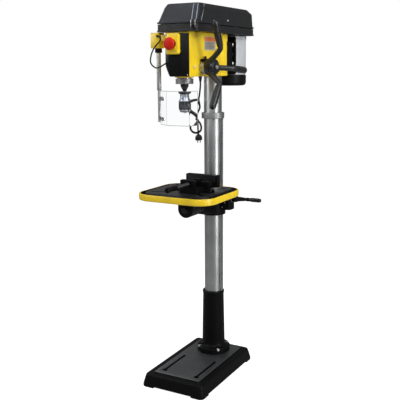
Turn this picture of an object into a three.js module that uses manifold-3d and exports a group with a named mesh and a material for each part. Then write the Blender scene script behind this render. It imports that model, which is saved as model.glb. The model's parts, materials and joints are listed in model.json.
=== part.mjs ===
// Floor-standing drill press: a cast base, a round column with a rack, a tilting table on a
// bracket that is cranked up and down the rack, and a belt-driven head with a quill, a keyed
// chuck, a three-lever feed, a swing-away chuck guard and an emergency stop.
//
// Millimetres, +Z up, front of the machine towards -Y. Every piece is written about the column's
// axis, and the whole press is then moved so that the origin is on the floor under its middle.

import * as THREE from 'three';
import { mergeGeometries, mergeVertices } from 'three/addons/utils/BufferGeometryUtils.js';
import Module from 'manifold-3d';

const wasm = await Module();
wasm.setup();

// ---------------------------------------------------------------- driving dimensions

const COLUMN_R = 40;            // column radius
const THROW = 252;              // column axis to spindle axis
const GAP = 0.3;                // clearance between two pieces that touch
const RUN = 0.4;                // clearance round a piece that turns or slides

const BASE_TOP = 60;            // machined face of the base
const SUPPORT_TOP = 357;        // top of the column support
const COLUMN_TOP = 1490;        // hidden inside the head
const COLLAR_Z = [1161, 1187];  // ring that holds the top of the rack

const TABLE_Y = -221;           // middle of the table
const TABLE_HALF = [182, 173];  // half its width and depth
const TABLE_CORNER = 80;
const TABLE_Z = [835, 863];     // rim, bottom and top
const TABLE_FACE = 866;         // machined face
const TILT_Z = 786;             // axis the table tilts about
const HANGER_R = 36.5;          // round lower end of the table's hanger
const HANGER_Y = [-256, -180];

const BRACKET_Z = [723, 797];
const BRACKET_R = 57;
const CRANK_Z = 800;            // axis of the crank and its worm
const GEAR = [61.5, 777];       // x and z of the lift gear
const GEAR_R = 14;
const WORM_R = 8.4;
const CRANK_END = [150, 58, 790];

const VISE_X = 36;              // middle of the vise
const VISE_Z = TABLE_FACE + GAP;
const VISE_SCREW_Z = 905;

const HEAD_Z = [1348, 1527];    // casting, bottom and top
const HEAD_FRONT = -306;
const HEAD_BOSS_R = 65;         // round rear end about the column
const FEED_Y = -207;            // feed shaft axis
const FEED_Z = 1386;
const FEED_SHAFT_R = 14.3;
const FEED_START = 115.7;       // angle of the first lever, from +Y towards +Z
const LEVER_X = 163;            // plane of the grips
const LEVER_R = 10.5;
const GRIP_R = [88, 197];       // where a grip starts and ends, from the feed axis

const TRAY_Z = [1527.3, 1557];
const LID_Z = [1560, 1641];
const BELT_COVER_Y = [-314, 252];
const BELT_COVER_HALF = 94;

const MOTOR_Y = 170;
const MOTOR_R = 74;
const IDLER_Y = -60;
const STEP_Z = [1546, 1564, 1582, 1600];    // middles of the belt grooves
const SPINDLE_STEPS = [52, 45, 37, 29];
const IDLER_STEPS = [44, 51, 59, 67];
const MOTOR_STEPS = [61, 54, 46, 38];
const GROOVE_DEPTH = 6;
const GROOVE_HALF = 5;
const BELT_HALF = 4.4;

const QUILL_R = 30;
const QUILL_Z = [1318, 1488];
const CHUCK_Z = [1202, 1287];

const GUARD_ROD = [-118, -262];
const SHIELD_Z = [1148, 1290];

// middle of the finished press in plan, seen from the column's axis
const PLAN_MIDDLE = [15.65, -106.15];

// ---------------------------------------------------------------- materials

function paint(color, roughness, metalness) {
  return () => new THREE.MeshStandardMaterial({ color, roughness, metalness });
}
const castBlack = paint(0x26282c, 0.6, 0.2);
const yellow = paint(0xf2c414, 0.4, 0.1);
const steel = paint(0xb9bcc0, 0.3, 0.9);
const machined = paint(0x9da1a5, 0.4, 0.8);
const blackPlastic = paint(0x1b1c1f, 0.5, 0);
const coverPaint = paint(0x2a2d38, 0.5, 0.1);
const aluminium = paint(0xc4c7ca, 0.45, 0.8);
const rubber = paint(0x141414, 0.8, 0);
const red = paint(0xb01212, 0.4, 0);
const clear = paint(0xd8e4ea, 0.1, 0);

// ---------------------------------------------------------------- shapes

function box(x, y, z) {
  const g = new THREE.BoxGeometry(x[1] - x[0], y[1] - y[0], z[1] - z[0]);
  return g.translate((x[0] + x[1]) / 2, (y[0] + y[1]) / 2, (z[0] + z[1]) / 2);
}

// a round bar along 'x', 'y' or 'z'; at holds its other two coordinates
function bar(axis, r, from, to, at, sides = 20, rEnd = r) {
  const g = new THREE.CylinderGeometry(rEnd, r, to - from, sides);
  g.translate(0, (from + to) / 2, 0);
  if (axis === 'x') return g.rotateZ(-Math.PI / 2).translate(0, at[0], at[1]);
  if (axis === 'y') return g.translate(at[0], 0, at[1]);
  return g.rotateX(Math.PI / 2).translate(at[0], at[1], 0);
}

// a turned piece: profile of [radius, height] pairs, in either direction
function turned(profile, sides = 24) {
  const points = profile.map(([r, h]) => new THREE.Vector2(r, h));
  if (THREE.ShapeUtils.area(points) < 0) points.reverse();
  const first = points[0];
  const last = points[points.length - 1];
  if (first.x !== 0 || last.x !== 0) points.push(first.clone());
  return new THREE.LatheGeometry(points, sides).rotateX(Math.PI / 2);
}

function turnedAt(profile, x, y, sides) {
  return turned(profile, sides).translate(x, y, 0);
}

// a turned piece whose axis runs along +X through (y, z)
function turnedAlongX(profile, y, z, sides) {
  return turned(profile, sides).rotateY(Math.PI / 2).translate(0, y, z);
}

// a turned piece whose axis runs along -Y through (x, z)
function turnedAlongFront(profile, x, z, sides) {
  return turned(profile, sides).rotateX(Math.PI / 2).translate(x, 0, z);
}

function outline(points) {
  return new THREE.Shape(points.map(([x, y]) => new THREE.Vector2(x, y)));
}

function slab(shape, z) {
  const g = new THREE.ExtrudeGeometry(shape, { depth: z[1] - z[0], bevelEnabled: false });
  return g.translate(0, 0, z[0]);
}

// corners of a rectangle with round corners, anticlockwise; r may differ front and rear
function rounded(x, y, rFront, rRear = rFront, steps = 5) {
  const corners = [
    [x[1] - rRear, y[1] - rRear, 0, rRear],
    [x[0] + rRear, y[1] - rRear, 1, rRear],
    [x[0] + rFront, y[0] + rFront, 2, rFront],
    [x[1] - rFront, y[0] + rFront, 3, rFront],
  ];
  const points = [];
  for (const [cx, cy, quarter, r] of corners) {
    for (let i = 0; i <= steps; i += 1) {
      const a = (Math.PI / 2) * (quarter + i / steps);
      points.push([cx + r * Math.cos(a), cy + r * Math.sin(a)]);
    }
  }
  return points;
}

// a closed skin through outlines of equal point count, each { z, points }
function loft(rings) {
  const count = rings[0].points.length;
  const position = [];
  for (const ring of rings) {
    for (const [x, y] of ring.points) position.push(x, y, ring.z);
  }
  const index = [];
  for (let k = 0; k + 1 < rings.length; k += 1) {
    for (let i = 0; i < count; i += 1) {
      const a = k * count + i;
      const b = k * count + ((i + 1) % count);
      index.push(a, b, b + count, a, b + count, a + count);
    }
  }
  const cap = (ring) => THREE.ShapeUtils.triangulateShape(
    ring.points.map(([x, y]) => new THREE.Vector2(x, y)), []);
  const top = (rings.length - 1) * count;
  for (const [a, b, c] of cap(rings[0])) index.push(a, c, b);
  for (const [a, b, c] of cap(rings[rings.length - 1])) index.push(top + a, top + b, top + c);
  const g = new THREE.BufferGeometry();
  g.setAttribute('position', new THREE.Float32BufferAttribute(position, 3));
  g.setIndex(index);
  return g;
}

// a round section swept along a smooth curve through points
function sweep(points, r, steps, sides = 8) {
  const curve = new THREE.CatmullRomCurve3(points.map((p) => new THREE.Vector3(...p)));
  const section = new THREE.Shape();
  for (let i = 0; i < sides; i += 1) {
    const a = (2 * Math.PI * i) / sides;
    if (i === 0) section.moveTo(r, 0);
    else section.lineTo(r * Math.cos(a), r * Math.sin(a));
  }
  section.closePath();
  return new THREE.ExtrudeGeometry(section, { steps, extrudePath: curve, bevelEnabled: false });
}

// turns a geometry built along +Z so that it runs from one point towards another
function aimed(geometry, from, to) {
  const way = new THREE.Vector3(...to).sub(new THREE.Vector3(...from)).normalize();
  const turn = new THREE.Quaternion().setFromUnitVectors(new THREE.Vector3(0, 0, 1), way);
  return geometry.applyQuaternion(turn).translate(...from);
}

// ---------------------------------------------------------------- joining and cutting

function solid(geometry) {
  let g = geometry.clone();
  g.deleteAttribute('normal');
  g.deleteAttribute('uv');
  g = mergeVertices(g, 1e-4);
  const mesh = new wasm.Mesh({
    numProp: 3,
    vertProperties: new Float32Array(g.attributes.position.array),
    triVerts: new Uint32Array(g.index.array),
  });
  return new wasm.Manifold(mesh);
}

function joined(...geometries) {
  return geometries.map(solid).reduce((a, b) => a.add(b));
}

function cut(body, ...tools) {
  return tools.map(solid).reduce((a, b) => a.subtract(b), body);
}

function geometryOf(manifold) {
  const mesh = manifold.getMesh();
  const g = new THREE.BufferGeometry();
  g.setAttribute('position', new THREE.Float32BufferAttribute(mesh.vertProperties, 3));
  g.setIndex(new THREE.Uint32BufferAttribute(mesh.triVerts, 1));
  g.computeVertexNormals();
  return g;
}

const press = new THREE.Group();
press.position.set(-PLAN_MIDDLE[0], -PLAN_MIDDLE[1], 0);

function piece(name, shape, material) {
  const geometry = shape.isBufferGeometry ? shape : geometryOf(shape);
  const mesh = new THREE.Mesh(geometry, material());
  mesh.name = name;
  press.add(mesh);
}

// ---------------------------------------------------------------- base and column

const BASE_X = [-153, 153];
const BASE_Y = [-394, 106];
const FOOT_HEIGHT = 6;
const FOOT_LENGTH = 58;

function grown(range, by) {
  return [range[0] - by, range[1] + by];
}

function baseRing(z, by, r) {
  return { z, points: rounded(grown(BASE_X, by), grown(BASE_Y, by), r) };
}

function baseFeet() {
  const ring = cut(solid(loft([baseRing(0, -1, 20), baseRing(FOOT_HEIGHT + 4, 0, 20)])),
    slab(outline(rounded(grown(BASE_X, -16), grown(BASE_Y, -16), 12)), [-1, 12]));
  const corners = [];
  for (const x of [[BASE_X[0] - 1, BASE_X[0] + FOOT_LENGTH], [BASE_X[1] - FOOT_LENGTH, BASE_X[1] + 1]]) {
    for (const y of [[BASE_Y[0] - 1, BASE_Y[0] + FOOT_LENGTH], [BASE_Y[1] - FOOT_LENGTH, BASE_Y[1] + 1]]) {
      corners.push(box(x, y, [-1, 12]));
    }
  }
  return ring.intersect(joined(...corners));
}

function baseCasting() {
  const skin = loft([
    baseRing(FOOT_HEIGHT, 0, 20),
    baseRing(16, -1, 20),
    baseRing(50, -10.5, 16),
    baseRing(57, -14, 14),
  ]);
  const pan = loft([baseRing(FOOT_HEIGHT - 1, -14, 14), baseRing(44, -25, 8)]);
  const panel = slab(outline(rounded([-113, 113], [-352, 72], 6)), [50, BASE_TOP]);
  const columnPad = bar('z', 78, 30, 50, [0, 0], 24);
  const rib = box([-132, 132], [-116, -104], [16, 50]);
  let body = cut(joined(skin, panel), pan).add(joined(columnPad, rib)).add(baseFeet());
  for (const x of [-80, 80]) {
    body = cut(body, box([x - 5.5, x + 5.5], [-320, -133], [38, 62]),
      bar('z', 11, 38, 62, [x, -314], 14));
  }
  return body;
}

function columnSupport() {
  const bore = COLUMN_R + GAP;
  const foot = BASE_TOP + GAP;
  return turned([
    [bore, foot], [77.5, foot], [77.5, 82], [74, 86], [60, 89], [54.5, 98],
    [53, 112], [48.5, 342], [50.5, 347], [50.5, 354], [48, SUPPORT_TOP], [bore, SUPPORT_TOP],
  ], 28);
}

function columnTube() {
  const foot = BASE_TOP + GAP;
  return turned([[36, foot], [COLUMN_R, foot], [COLUMN_R, COLUMN_TOP], [36, COLUMN_TOP]], 32);
}

const RACK_X = [COLUMN_R + GAP, 46.4];
const RACK_HALF = 11;

function columnRack() {
  return box(RACK_X, [-RACK_HALF, RACK_HALF], [SUPPORT_TOP + GAP, COLLAR_Z[0] - GAP]);
}

function rackCollar() {
  const bore = COLUMN_R + GAP;
  return turned([
    [bore, COLLAR_Z[0]], [50, COLLAR_Z[0]], [51, COLLAR_Z[0] + 1.5], [51, COLLAR_Z[1] - 1.5],
    [50, COLLAR_Z[1]], [bore, COLLAR_Z[1]],
  ], 28);
}

// ---------------------------------------------------------------- table bracket and lift

const EAR_Y = 70;               // clamp bolt through the split ears behind the column
const EAR_Z = 760;
const EAR_X = 16;
const PIVOT_R = 9;              // tilt bolt

function tableBracket() {
  const [gx, gz] = GEAR;
  const clamp = bar('z', BRACKET_R, BRACKET_Z[0], BRACKET_Z[1], [0, 0], 28);
  const arm = box([-26, 26], [-152, -45], [735, 792]);
  const armEnd = bar('y', HANGER_R, HANGER_Y[1] + 2, HANGER_Y[1] + 30, [0, TILT_Z], 24);
  const housing = slab(outline(rounded([40, 99], [-27, 27], 12, 12, 3)), [750, 815]);
  const ears = box([-EAR_X, EAR_X], [50, 84], [738, 782]);
  return cut(joined(clamp, arm, armEnd, housing, ears),
    bar('z', COLUMN_R + RUN, 720, 820, [0, 0], 32),
    box([36, RACK_X[1] + RUN + 0.2], [-RACK_HALF - RUN, RACK_HALF + RUN], [720, 820]),
    box([-2, 2], [38, 90], [720, 800]),
    bar('x', 5.4, -20, 20, [EAR_Y, EAR_Z], 12),
    bar('y', GEAR_R + 0.8, -11, 11, [gx, gz], 20),
    box([44, gx], [-11, 11], [gz - 11, gz + 11]),
    bar('x', WORM_R + 0.6, 44, 87, [0, CRANK_Z], 16),
    box([gx - 7, gx + 7], [-6, 6], [gz + 9, CRANK_Z - 5]),
    bar('x', 7.4, 86, 106, [0, CRANK_Z], 16),
    bar('y', 5.4, -30, 30, [gx, gz], 12),
    bar('y', PIVOT_R + GAP, HANGER_Y[1] - 5, -139, [0, TILT_Z], 16));
}

function toothed(rOut, depth, teeth) {
  const points = [];
  for (let i = 0; i < teeth; i += 1) {
    for (const [part, r] of [[0, rOut - depth], [0.3, rOut - depth], [0.42, rOut], [0.78, rOut]]) {
      const a = (2 * Math.PI * (i + part)) / teeth;
      points.push([r * Math.cos(a), r * Math.sin(a)]);
    }
  }
  return outline(points);
}

function liftGear() {
  const gear = slab(toothed(GEAR_R, 2.4, 14), [-10, 10]).rotateX(Math.PI / 2);
  return joined(gear.translate(GEAR[0], 0, GEAR[1]), bar('y', 5, -26, 26, GEAR, 12));
}

function crank() {
  const [ex, ey, ez] = CRANK_END;
  const hubX = 113;
  const arm = aimed(new THREE.CylinderGeometry(8, 13, 70, 14).rotateX(Math.PI / 2).translate(0, 0, 32),
    [hubX + 1, 0, CRANK_Z], CRANK_END);
  return joined(
    bar('x', WORM_R, 50, 85, [0, CRANK_Z], 14),
    bar('x', 7, 84, 112, [0, CRANK_Z], 14),
    bar('x', 15, 100, 122, [0, CRANK_Z], 16),
    arm,
    bar('x', 8.5, ex - 9, ex + 6, [ey, ez], 14),
    bar('x', 3.5, ex + 5, ex + 52, [ey, ez], 10));
}

function crankGrip() {
  const start = CRANK_END[0] + 6 + GAP;
  return turnedAlongX([
    [3.9, start], [7.5, start], [9.5, start + 10], [9.5, start + 50], [7.5, start + 57],
    [0, start + 57], [0, start + 48], [3.9, start + 48],
  ], CRANK_END[1], CRANK_END[2], 14);
}

function columnLock() {
  const nutX = EAR_X + GAP;
  return joined(
    bar('x', 5, -34, 26, [EAR_Y, EAR_Z], 12),
    bar('x', 8.5, nutX, nutX + 8, [EAR_Y, EAR_Z], 6),
    bar('x', 11, -38, -nutX, [EAR_Y, EAR_Z], 14),
    sweep([[-30, EAR_Y, EAR_Z], [-34, EAR_Y + 20, EAR_Z - 14], [-46, EAR_Y + 50, EAR_Z - 34]], 5, 6, 10),
    new THREE.IcosahedronGeometry(10, 1).translate(-49, EAR_Y + 58, EAR_Z - 39));
}

// ---------------------------------------------------------------- table and vise

function tableRing(z, by, r) {
  return {
    z,
    points: rounded([-TABLE_HALF[0] - by, TABLE_HALF[0] + by],
      [TABLE_Y - TABLE_HALF[1] - by, TABLE_Y + TABLE_HALF[1] + by], r, r, 6),
  };
}

function workTable() {
  const rim = loft([tableRing(TABLE_Z[0], -3, 77), tableRing(TABLE_Z[0] + 5, 0, TABLE_CORNER),
    tableRing(TABLE_Z[1], 0, TABLE_CORNER)]);
  const trough = loft([tableRing(853, -11, 69), tableRing(870, -9, 71)]);
  const face = loft([tableRing(846, -30, 52), tableRing(TABLE_FACE, -30, 52)]);
  const under = loft([tableRing(TABLE_Z[0] - 1, -14, 66), tableRing(845, -16, 64)]);
  const hanger = box([-HANGER_R, HANGER_R], HANGER_Y, [TILT_Z, 850]);
  const hangerEnd = bar('y', HANGER_R, HANGER_Y[0], HANGER_Y[1], [0, TILT_Z], 28);
  let body = cut(solid(rim), trough, under).add(joined(face, hanger, hangerEnd));
  body = cut(body, bar('y', PIVOT_R + RUN, HANGER_Y[0] - 2, HANGER_Y[1] + 2, [0, TILT_Z], 16));
  const slotAngle = 40;
  for (const [side, end] of [[1, 1], [-1, 1], [-1, -1], [1, -1]]) {
    const slot = box([64, 166], [-6, 6], [840, 870]);
    slot.rotateZ(THREE.MathUtils.degToRad(slotAngle) * side * end + (side < 0 ? Math.PI : 0));
    body = cut(body, slot.translate(0, TABLE_Y, 0));
  }
  return body;
}

function tiltBolt() {
  const front = HANGER_Y[0] - GAP;
  return joined(
    bar('y', PIVOT_R, front - 2, -142, [0, TILT_Z], 16),
    bar('y', 17, front - 4, front, [0, TILT_Z], 18),
    bar('y', 14, front - 15, front - 3, [0, TILT_Z], 6));
}

const JAW_FACE_Y = -178;        // fixed jaw
const JAW_OPEN = 34;            // gap between the jaws at rest
const VISE_FRONT = -296;
const CHANNEL_HALF = 15;        // slot the moving jaw's tongue runs in

function viseBody() {
  const x = VISE_X;
  const foot = slab(outline(rounded([x - 44, x + 44], [VISE_FRONT, -150], 8, 8, 2)), [VISE_Z, 880]);
  const ears = slab(outline(rounded([x - 84, x + 84], [-250, -206], 12, 12, 3)), [VISE_Z, 877]);
  const rails = box([x - 40, x + 40], [VISE_FRONT + 2, -152], [878, 890]);
  const jaw = box([x - 76, x + 76], [JAW_FACE_Y, -150], [878, 930]);
  const block = slab(outline(rounded([x - 30, x + 30], [878, 922], 2, 12, 3)), [272, -VISE_FRONT]);
  return cut(joined(foot, ears, rails, jaw, block.rotateX(Math.PI / 2)),
    box([x - CHANNEL_HALF, x + CHANNEL_HALF], [-271.5, JAW_FACE_Y - GAP], [876, 896]),
    bar('y', 8.5, VISE_FRONT - 2, -270, [x, VISE_SCREW_Z], 16),
    box([x - 90, x - 66], [-234, -222], [860, 885]),
    box([x + 66, x + 90], [-234, -222], [860, 885]));
}

function viseJaw() {
  const back = JAW_FACE_Y - JAW_OPEN;
  const x = VISE_X;
  const tongue = CHANNEL_HALF - RUN;
  return cut(joined(
    box([x - 70, x + 70], [back - 28, back], [890.4, 911]),
    box([x - 24, x + 24], [back - 28, back], [900, 920]),
    box([x - tongue, x + tongue], [back - 28, back], [880, 894])),
    bar('y', 8.3, back - 30, back - 8, [x, VISE_SCREW_Z], 16));
}

function viseScrew() {
  return bar('y', 8, -392, JAW_FACE_Y - JAW_OPEN - 9, [VISE_X, VISE_SCREW_Z], 16);
}

function viseGrip() {
  const y = 392.3;
  return turnedAlongFront([
    [0, y], [9, y], [11, y + 3], [11, y + 60], [11.6, y + 62], [11.6, y + 71], [9, y + 74], [0, y + 74],
  ], VISE_X, VISE_SCREW_Z, 16);
}

// ---------------------------------------------------------------- head

const SPINDLE_AT = [0, -THROW];
const BAR_X = 52;               // motor slide bars, each side of the column
const BAR_Z = 1442;

// the corner that slopes in under the left front of the head
function lowerLeftWedge() {
  const shape = outline([[-62, HEAD_Z[0] + 62], [-62, HEAD_Z[0] - 8], [-30, HEAD_Z[0] - 8]]);
  return slab(shape, [200, 345]).rotateX(Math.PI / 2);
}

function headCasting() {
  const nose = outline([[-56, HEAD_FRONT], [56, HEAD_FRONT], [59, -240], [59, -40], [-59, -40], [-59, -240]]);
  const body = joined(
    slab(nose, HEAD_Z),
    bar('z', HEAD_BOSS_R, HEAD_Z[0], HEAD_Z[1], [0, 0], 36),
    bar('z', 39, HEAD_Z[0] - 4.5, HEAD_Z[0] + 1, SPINDLE_AT, 28),
    bar('x', 30, 50, 60.3, [FEED_Y, FEED_Z], 24),
    box([-66, 66], [10, 63], [1390, 1495]),
    bar('z', 9, 1500, 1612, [0, IDLER_Y], 16));
  return cut(body,
    bar('z', QUILL_R + RUN, 1340, 1500, SPINDLE_AT, 32),
    bar('z', 13, 1499, 1530, SPINDLE_AT, 16),
    bar('z', COLUMN_R + RUN, 1340, COLUMN_TOP + 2, [0, 0], 32),
    bar('x', FEED_SHAFT_R + RUN, -27, 62, [FEED_Y, FEED_Z], 24),
    bar('x', 9.4, -62, -26, [FEED_Y, FEED_Z], 16),
    cavityAroundIdler(),
    bar('y', 9.4, 8, 66, [-BAR_X, BAR_Z], 16),
    bar('y', 9.4, 8, 66, [BAR_X, BAR_Z], 16),
    lowerLeftWedge());
}

// open pockets that lighten the casting, each side of the idler's post
function cavityAroundIdler() {
  const shape = outline([[-46, -188], [46, -188], [46, -52], [-46, -52]]);
  const post = new THREE.Path([[-14, -74], [-14, -46.5], [14, -46.5], [14, -74]]
    .map(([x, y]) => new THREE.Vector2(x, y)));
  const well = solid(slab(shape, [1370, 1530]));
  return geometryOf(well.subtract(solid(slab(new THREE.Shape(post.getPoints()), [1360, 1540]))));
}

function frontCover() {
  const back = HEAD_FRONT - GAP;
  const plan = outline([[-54.5, back], [-54.5, -312], [-28, -330], [28, -330], [54.5, -312], [54.5, back]]);
  const chin = outline([[-334, HEAD_Z[0] + 46], [-334, HEAD_Z[0] - 4], [-311, HEAD_Z[0] - 4]]);
  return cut(solid(slab(plan, [HEAD_Z[0] + 0.5, 1520])),
    lowerLeftWedge(),
    slab(chin, [-60, 60]).rotateX(Math.PI / 2).rotateZ(Math.PI / 2));
}

const STOP_X = -2;
const STOP_Z = 1478;
const STOP_FRONT = -350;

function stopBox() {
  const w = 29;
  const h = 41;
  const c = 9;
  const face = outline([[-w, -h + c], [-w + c, -h], [w - c, -h], [w, -h + c], [w, h - c], [w - c, h],
    [-w + c, h], [-w, h - c]]);
  const g = slab(face, [330 + GAP, -STOP_FRONT]).rotateX(Math.PI / 2).translate(STOP_X, 0, STOP_Z);
  return cut(solid(g), bar('y', 12.4, STOP_FRONT - 2, STOP_FRONT + 14, [STOP_X, STOP_Z], 18));
}

function stopButton() {
  const f = -STOP_FRONT;
  return turnedAlongFront([
    [0, f - 6], [12, f - 6], [12, f + 12], [24, f + 14], [25, f + 19], [22, f + 25], [12, f + 28], [0, f + 29],
  ], STOP_X, STOP_Z, 20);
}

// ---------------------------------------------------------------- chuck guard

function guardSwitchBox() {
  const [rx, ry] = GUARD_ROD;
  return cut(joined(
    box([-143, -98], [-285, -245], [1464, 1526.8]),
    box([-99, -59.5], [-280, -256], [1494, 1518]),
    bar('z', 15, 1446, 1465, GUARD_ROD, 20)),
    bar('z', 9.8, 1440, 1482, [rx, ry], 20));
}

function guardTube() {
  return turnedAt([[6.9, 1291], [9.3, 1291], [9.3, 1478], [6.9, 1478]], ...GUARD_ROD, 18);
}

const SHIELD_PATH = [[-106, -271], [-50, -310], [50, -310], [60, -250]];

// the clear shield's folded sheet, as a strip of the given thickness behind its outer line
function strip(path, thickness) {
  const inner = path.map(([x, y], i) => {
    const before = path[Math.max(i - 1, 0)];
    const after = path[Math.min(i + 1, path.length - 1)];
    const along = new THREE.Vector2(after[0] - before[0], after[1] - before[1]).normalize();
    return [x - along.y * thickness, y + along.x * thickness];
  });
  return outline([...path, ...inner.reverse()]);
}

function guardShield() {
  return slab(strip(SHIELD_PATH, 3), SHIELD_Z);
}

function guardRod() {
  const lugs = [1172, 1256].map((z) => {
    const lug = box([0, 30], [3.4, 9], [z - 8, z + 8]);
    return lug.rotateZ(Math.atan2(-39, 56)).translate(SHIELD_PATH[0][0] - 11, SHIELD_PATH[0][1] + 7.4, 0);
  });
  const rod = joined(bar('z', 6.5, 1158, 1400, GUARD_ROD, 16), ...lugs);
  return rod;
}

function guardCable() {
  return sweep([
    [-107, -285.6, 1513], [-106.5, -292, 1513], [-98, -299, 1513], [-88, -302, 1509], [-82, -303, 1500], [-88, -305, 1488],
    [-103, -306, 1474], [-118, -308, 1453], [-127, -310, 1424], [-124, -314, 1404], [-107, -318, 1389],
    [-91, -322, 1384], [-72, -325, 1388], [-56, -325, 1396], [-50, -321.6, 1400], [-47.3, -317.6, 1401],
  ], 3, 26, 8);
}

// ---------------------------------------------------------------- belt cover, pulleys and belts

function coverRing(z, half, front, rear, rFront, rRear) {
  return { z, points: rounded([-half, half], [front, rear], rFront, rRear, 5) };
}

function beltTray() {
  const [y0, y1] = BELT_COVER_Y;
  const half = BELT_COVER_HALF;
  const skin = loft([
    coverRing(TRAY_Z[0], half + 3, y0 - 3, y1, 14, 36),
    coverRing(TRAY_Z[0] + 4, half + 3, y0 - 3, y1, 14, 36),
    coverRing(TRAY_Z[0] + 5, half - 7, y0 + 2, y1 - 8, 14, 34),
    coverRing(TRAY_Z[1], half + 1, y0 - 1, y1, 14, 38),
  ]);
  const inside = loft([
    coverRing(TRAY_Z[0] + 3, half - 11, y0 + 6, y1 - 12, 12, 32),
    coverRing(TRAY_Z[1] + 1, half - 3, y0 + 3, y1 - 4, 12, 34),
  ]);
  const shaftSlot = slab(outline(rounded([-16, 16], [MOTOR_Y - 30, MOTOR_Y + 16], 15, 15, 4)), [1520, 1535]);
  return cut(solid(skin), inside, shaftSlot,
    bar('z', 14, 1520, 1535, SPINDLE_AT, 18),
    bar('z', 9.4, 1520, 1535, [0, IDLER_Y], 18));
}

function beltLid() {
  const [y0, y1] = BELT_COVER_Y;
  const half = BELT_COVER_HALF;
  const rings = (inset, lift) => [
    coverRing(LID_Z[0] + (inset ? -1 : 0), half + 2 - inset, y0 - 2 + inset, y1 + 2 - inset, 14, 38),
    coverRing(LID_Z[0] + 5, half + 1 - inset, y0 - 1 + inset, y1 + 1 - inset, 14, 38),
    coverRing(LID_Z[0] + 10, half - 3 - inset, y0 + 3 + inset, y1 - 3 - inset, 16, 36),
    coverRing(1622 - lift, half - 9 - inset, y0 + 34 + inset, y1 - 4 - inset, 20, 30),
    coverRing(LID_Z[1] - lift, half - 17 - inset, y0 + 50 + inset, y1 - 48 - inset, 22, 26),
  ];
  return cut(solid(loft(rings(0, 0))), loft(rings(3.5, 3)));
}

const LATCH_X = [68, 96];

function lidLatch() {
  return joined(
    box(LATCH_X, [-323.5, -317.8], [1536, 1572]),
    box([LATCH_X[0] + 8, LATCH_X[1] - 8], [-328, -322], [1540, 1552]));
}

function pulley(steps, x, y, bore, z0, z1) {
  const profile = [[bore, z0]];
  steps.forEach((r, i) => {
    const middle = STEP_Z[i];
    const low = i === 0 ? z0 : middle - 9;
    const high = i === steps.length - 1 ? z1 : middle + 9;
    profile.push([r, low], [r, middle - GROOVE_HALF], [r - GROOVE_DEPTH, middle - GROOVE_HALF],
      [r - GROOVE_DEPTH, middle + GROOVE_HALF], [r, middle + GROOVE_HALF], [r, high]);
  });
  profile.push([bore, z1]);
  return turnedAt(profile, x, y, 22);
}

function spindlePulley() {
  return pulley(SPINDLE_STEPS, 0, -THROW, 9.5, 1537, 1609);
}

function idlerPulley() {
  return pulley(IDLER_STEPS, 0, IDLER_Y, 9.5, 1537, 1609);
}

function motorPulley() {
  return joined(pulley(MOTOR_STEPS, 0, MOTOR_Y, 8, 1537, 1609), bar('z', 9, 1526, 1611, [0, MOTOR_Y], 14));
}

// outline of a belt pulled tight round two circles on the line x = 0
function beltLine(yFront, rFront, yRear, rRear, steps = 20) {
  const lean = Math.asin((rFront - rRear) / (yRear - yFront));
  const points = [];
  for (let i = 0; i <= steps; i += 1) {
    const a = lean + (Math.PI - 2 * lean) * (i / steps);
    points.push([rRear * Math.cos(a), yRear + rRear * Math.sin(a)]);
  }
  for (let i = 0; i <= steps; i += 1) {
    const a = Math.PI - lean + (Math.PI + 2 * lean) * (i / steps);
    points.push([rFront * Math.cos(a), yFront + rFront * Math.sin(a)]);
  }
  return points;
}

function belt(yFront, rFront, yRear, rRear, z) {
  const shape = outline(beltLine(yFront, rFront + 2, yRear, rRear + 2));
  const inner = GROOVE_DEPTH - RUN;
  shape.holes.push(outline(beltLine(yFront, rFront - inner, yRear, rRear - inner)));
  return slab(shape, [z - BELT_HALF, z + BELT_HALF]);
}

// ---------------------------------------------------------------- motor

function motorBody() {
  return joined(
    bar('z', MOTOR_R, 1350, 1510, [0, MOTOR_Y], 32),
    bar('z', MOTOR_R + 2, 1510, 1524, [0, MOTOR_Y], 32),
    box([-44, 44], [92.3, 120], [1368, 1500]));
}

function motorFanCover() {
  const r = MOTOR_R + 1.5;
  return turnedAt([
    [r, 1349.7], [r, 1322], [r - 4, 1310], [r - 13, 1303], [20, 1302], [20, 1305],
    [r - 14, 1306], [r - 6.5, 1312], [r - 3, 1323], [r - 3, 1349.7],
  ], 0, MOTOR_Y, 32);
}

function motorPlate() {
  const holes = [-BAR_X, BAR_X].map((x) => bar('y', 9.3, 75, 97, [x, BAR_Z], 16));
  return cut(solid(box([-71, 71], [80, 92], [1352, 1520])), ...holes);
}

function slideBar(x) {
  return bar('y', 9, 22, 92, [x, BAR_Z], 16);
}

// ---------------------------------------------------------------- quill, spindle and chuck

function quill() {
  return turnedAt([
    [12.4, QUILL_Z[0]], [QUILL_R, QUILL_Z[0]], [QUILL_R, QUILL_Z[1]], [12.4, QUILL_Z[1]],
  ], ...SPINDLE_AT, 32);
}

function quillCollar() {
  const r = 37.2;
  return turnedAt([
    [QUILL_R + GAP, QUILL_Z[0]], [r - 1.5, QUILL_Z[0]], [r, QUILL_Z[0] + 1.5], [r, 1338.5],
    [r - 1.5, 1340], [QUILL_R + GAP, 1340],
  ], ...SPINDLE_AT, 28);
}

function spindle() {
  return turnedAt([
    [0, 1288], [8, 1288], [8.5, 1293], [17, 1309], [17, QUILL_Z[0] - 1], [12, QUILL_Z[0]],
    [12, 1496], [9, 1500], [9, 1624], [0, 1624],
  ], ...SPINDLE_AT, 20);
}

const JAW_TILT = [6.4, 40];     // a chuck jaw leans outward this much over this height
const JAW_TIP = [3.65, 1198];   // radius and height of the tip's middle, closed

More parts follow.
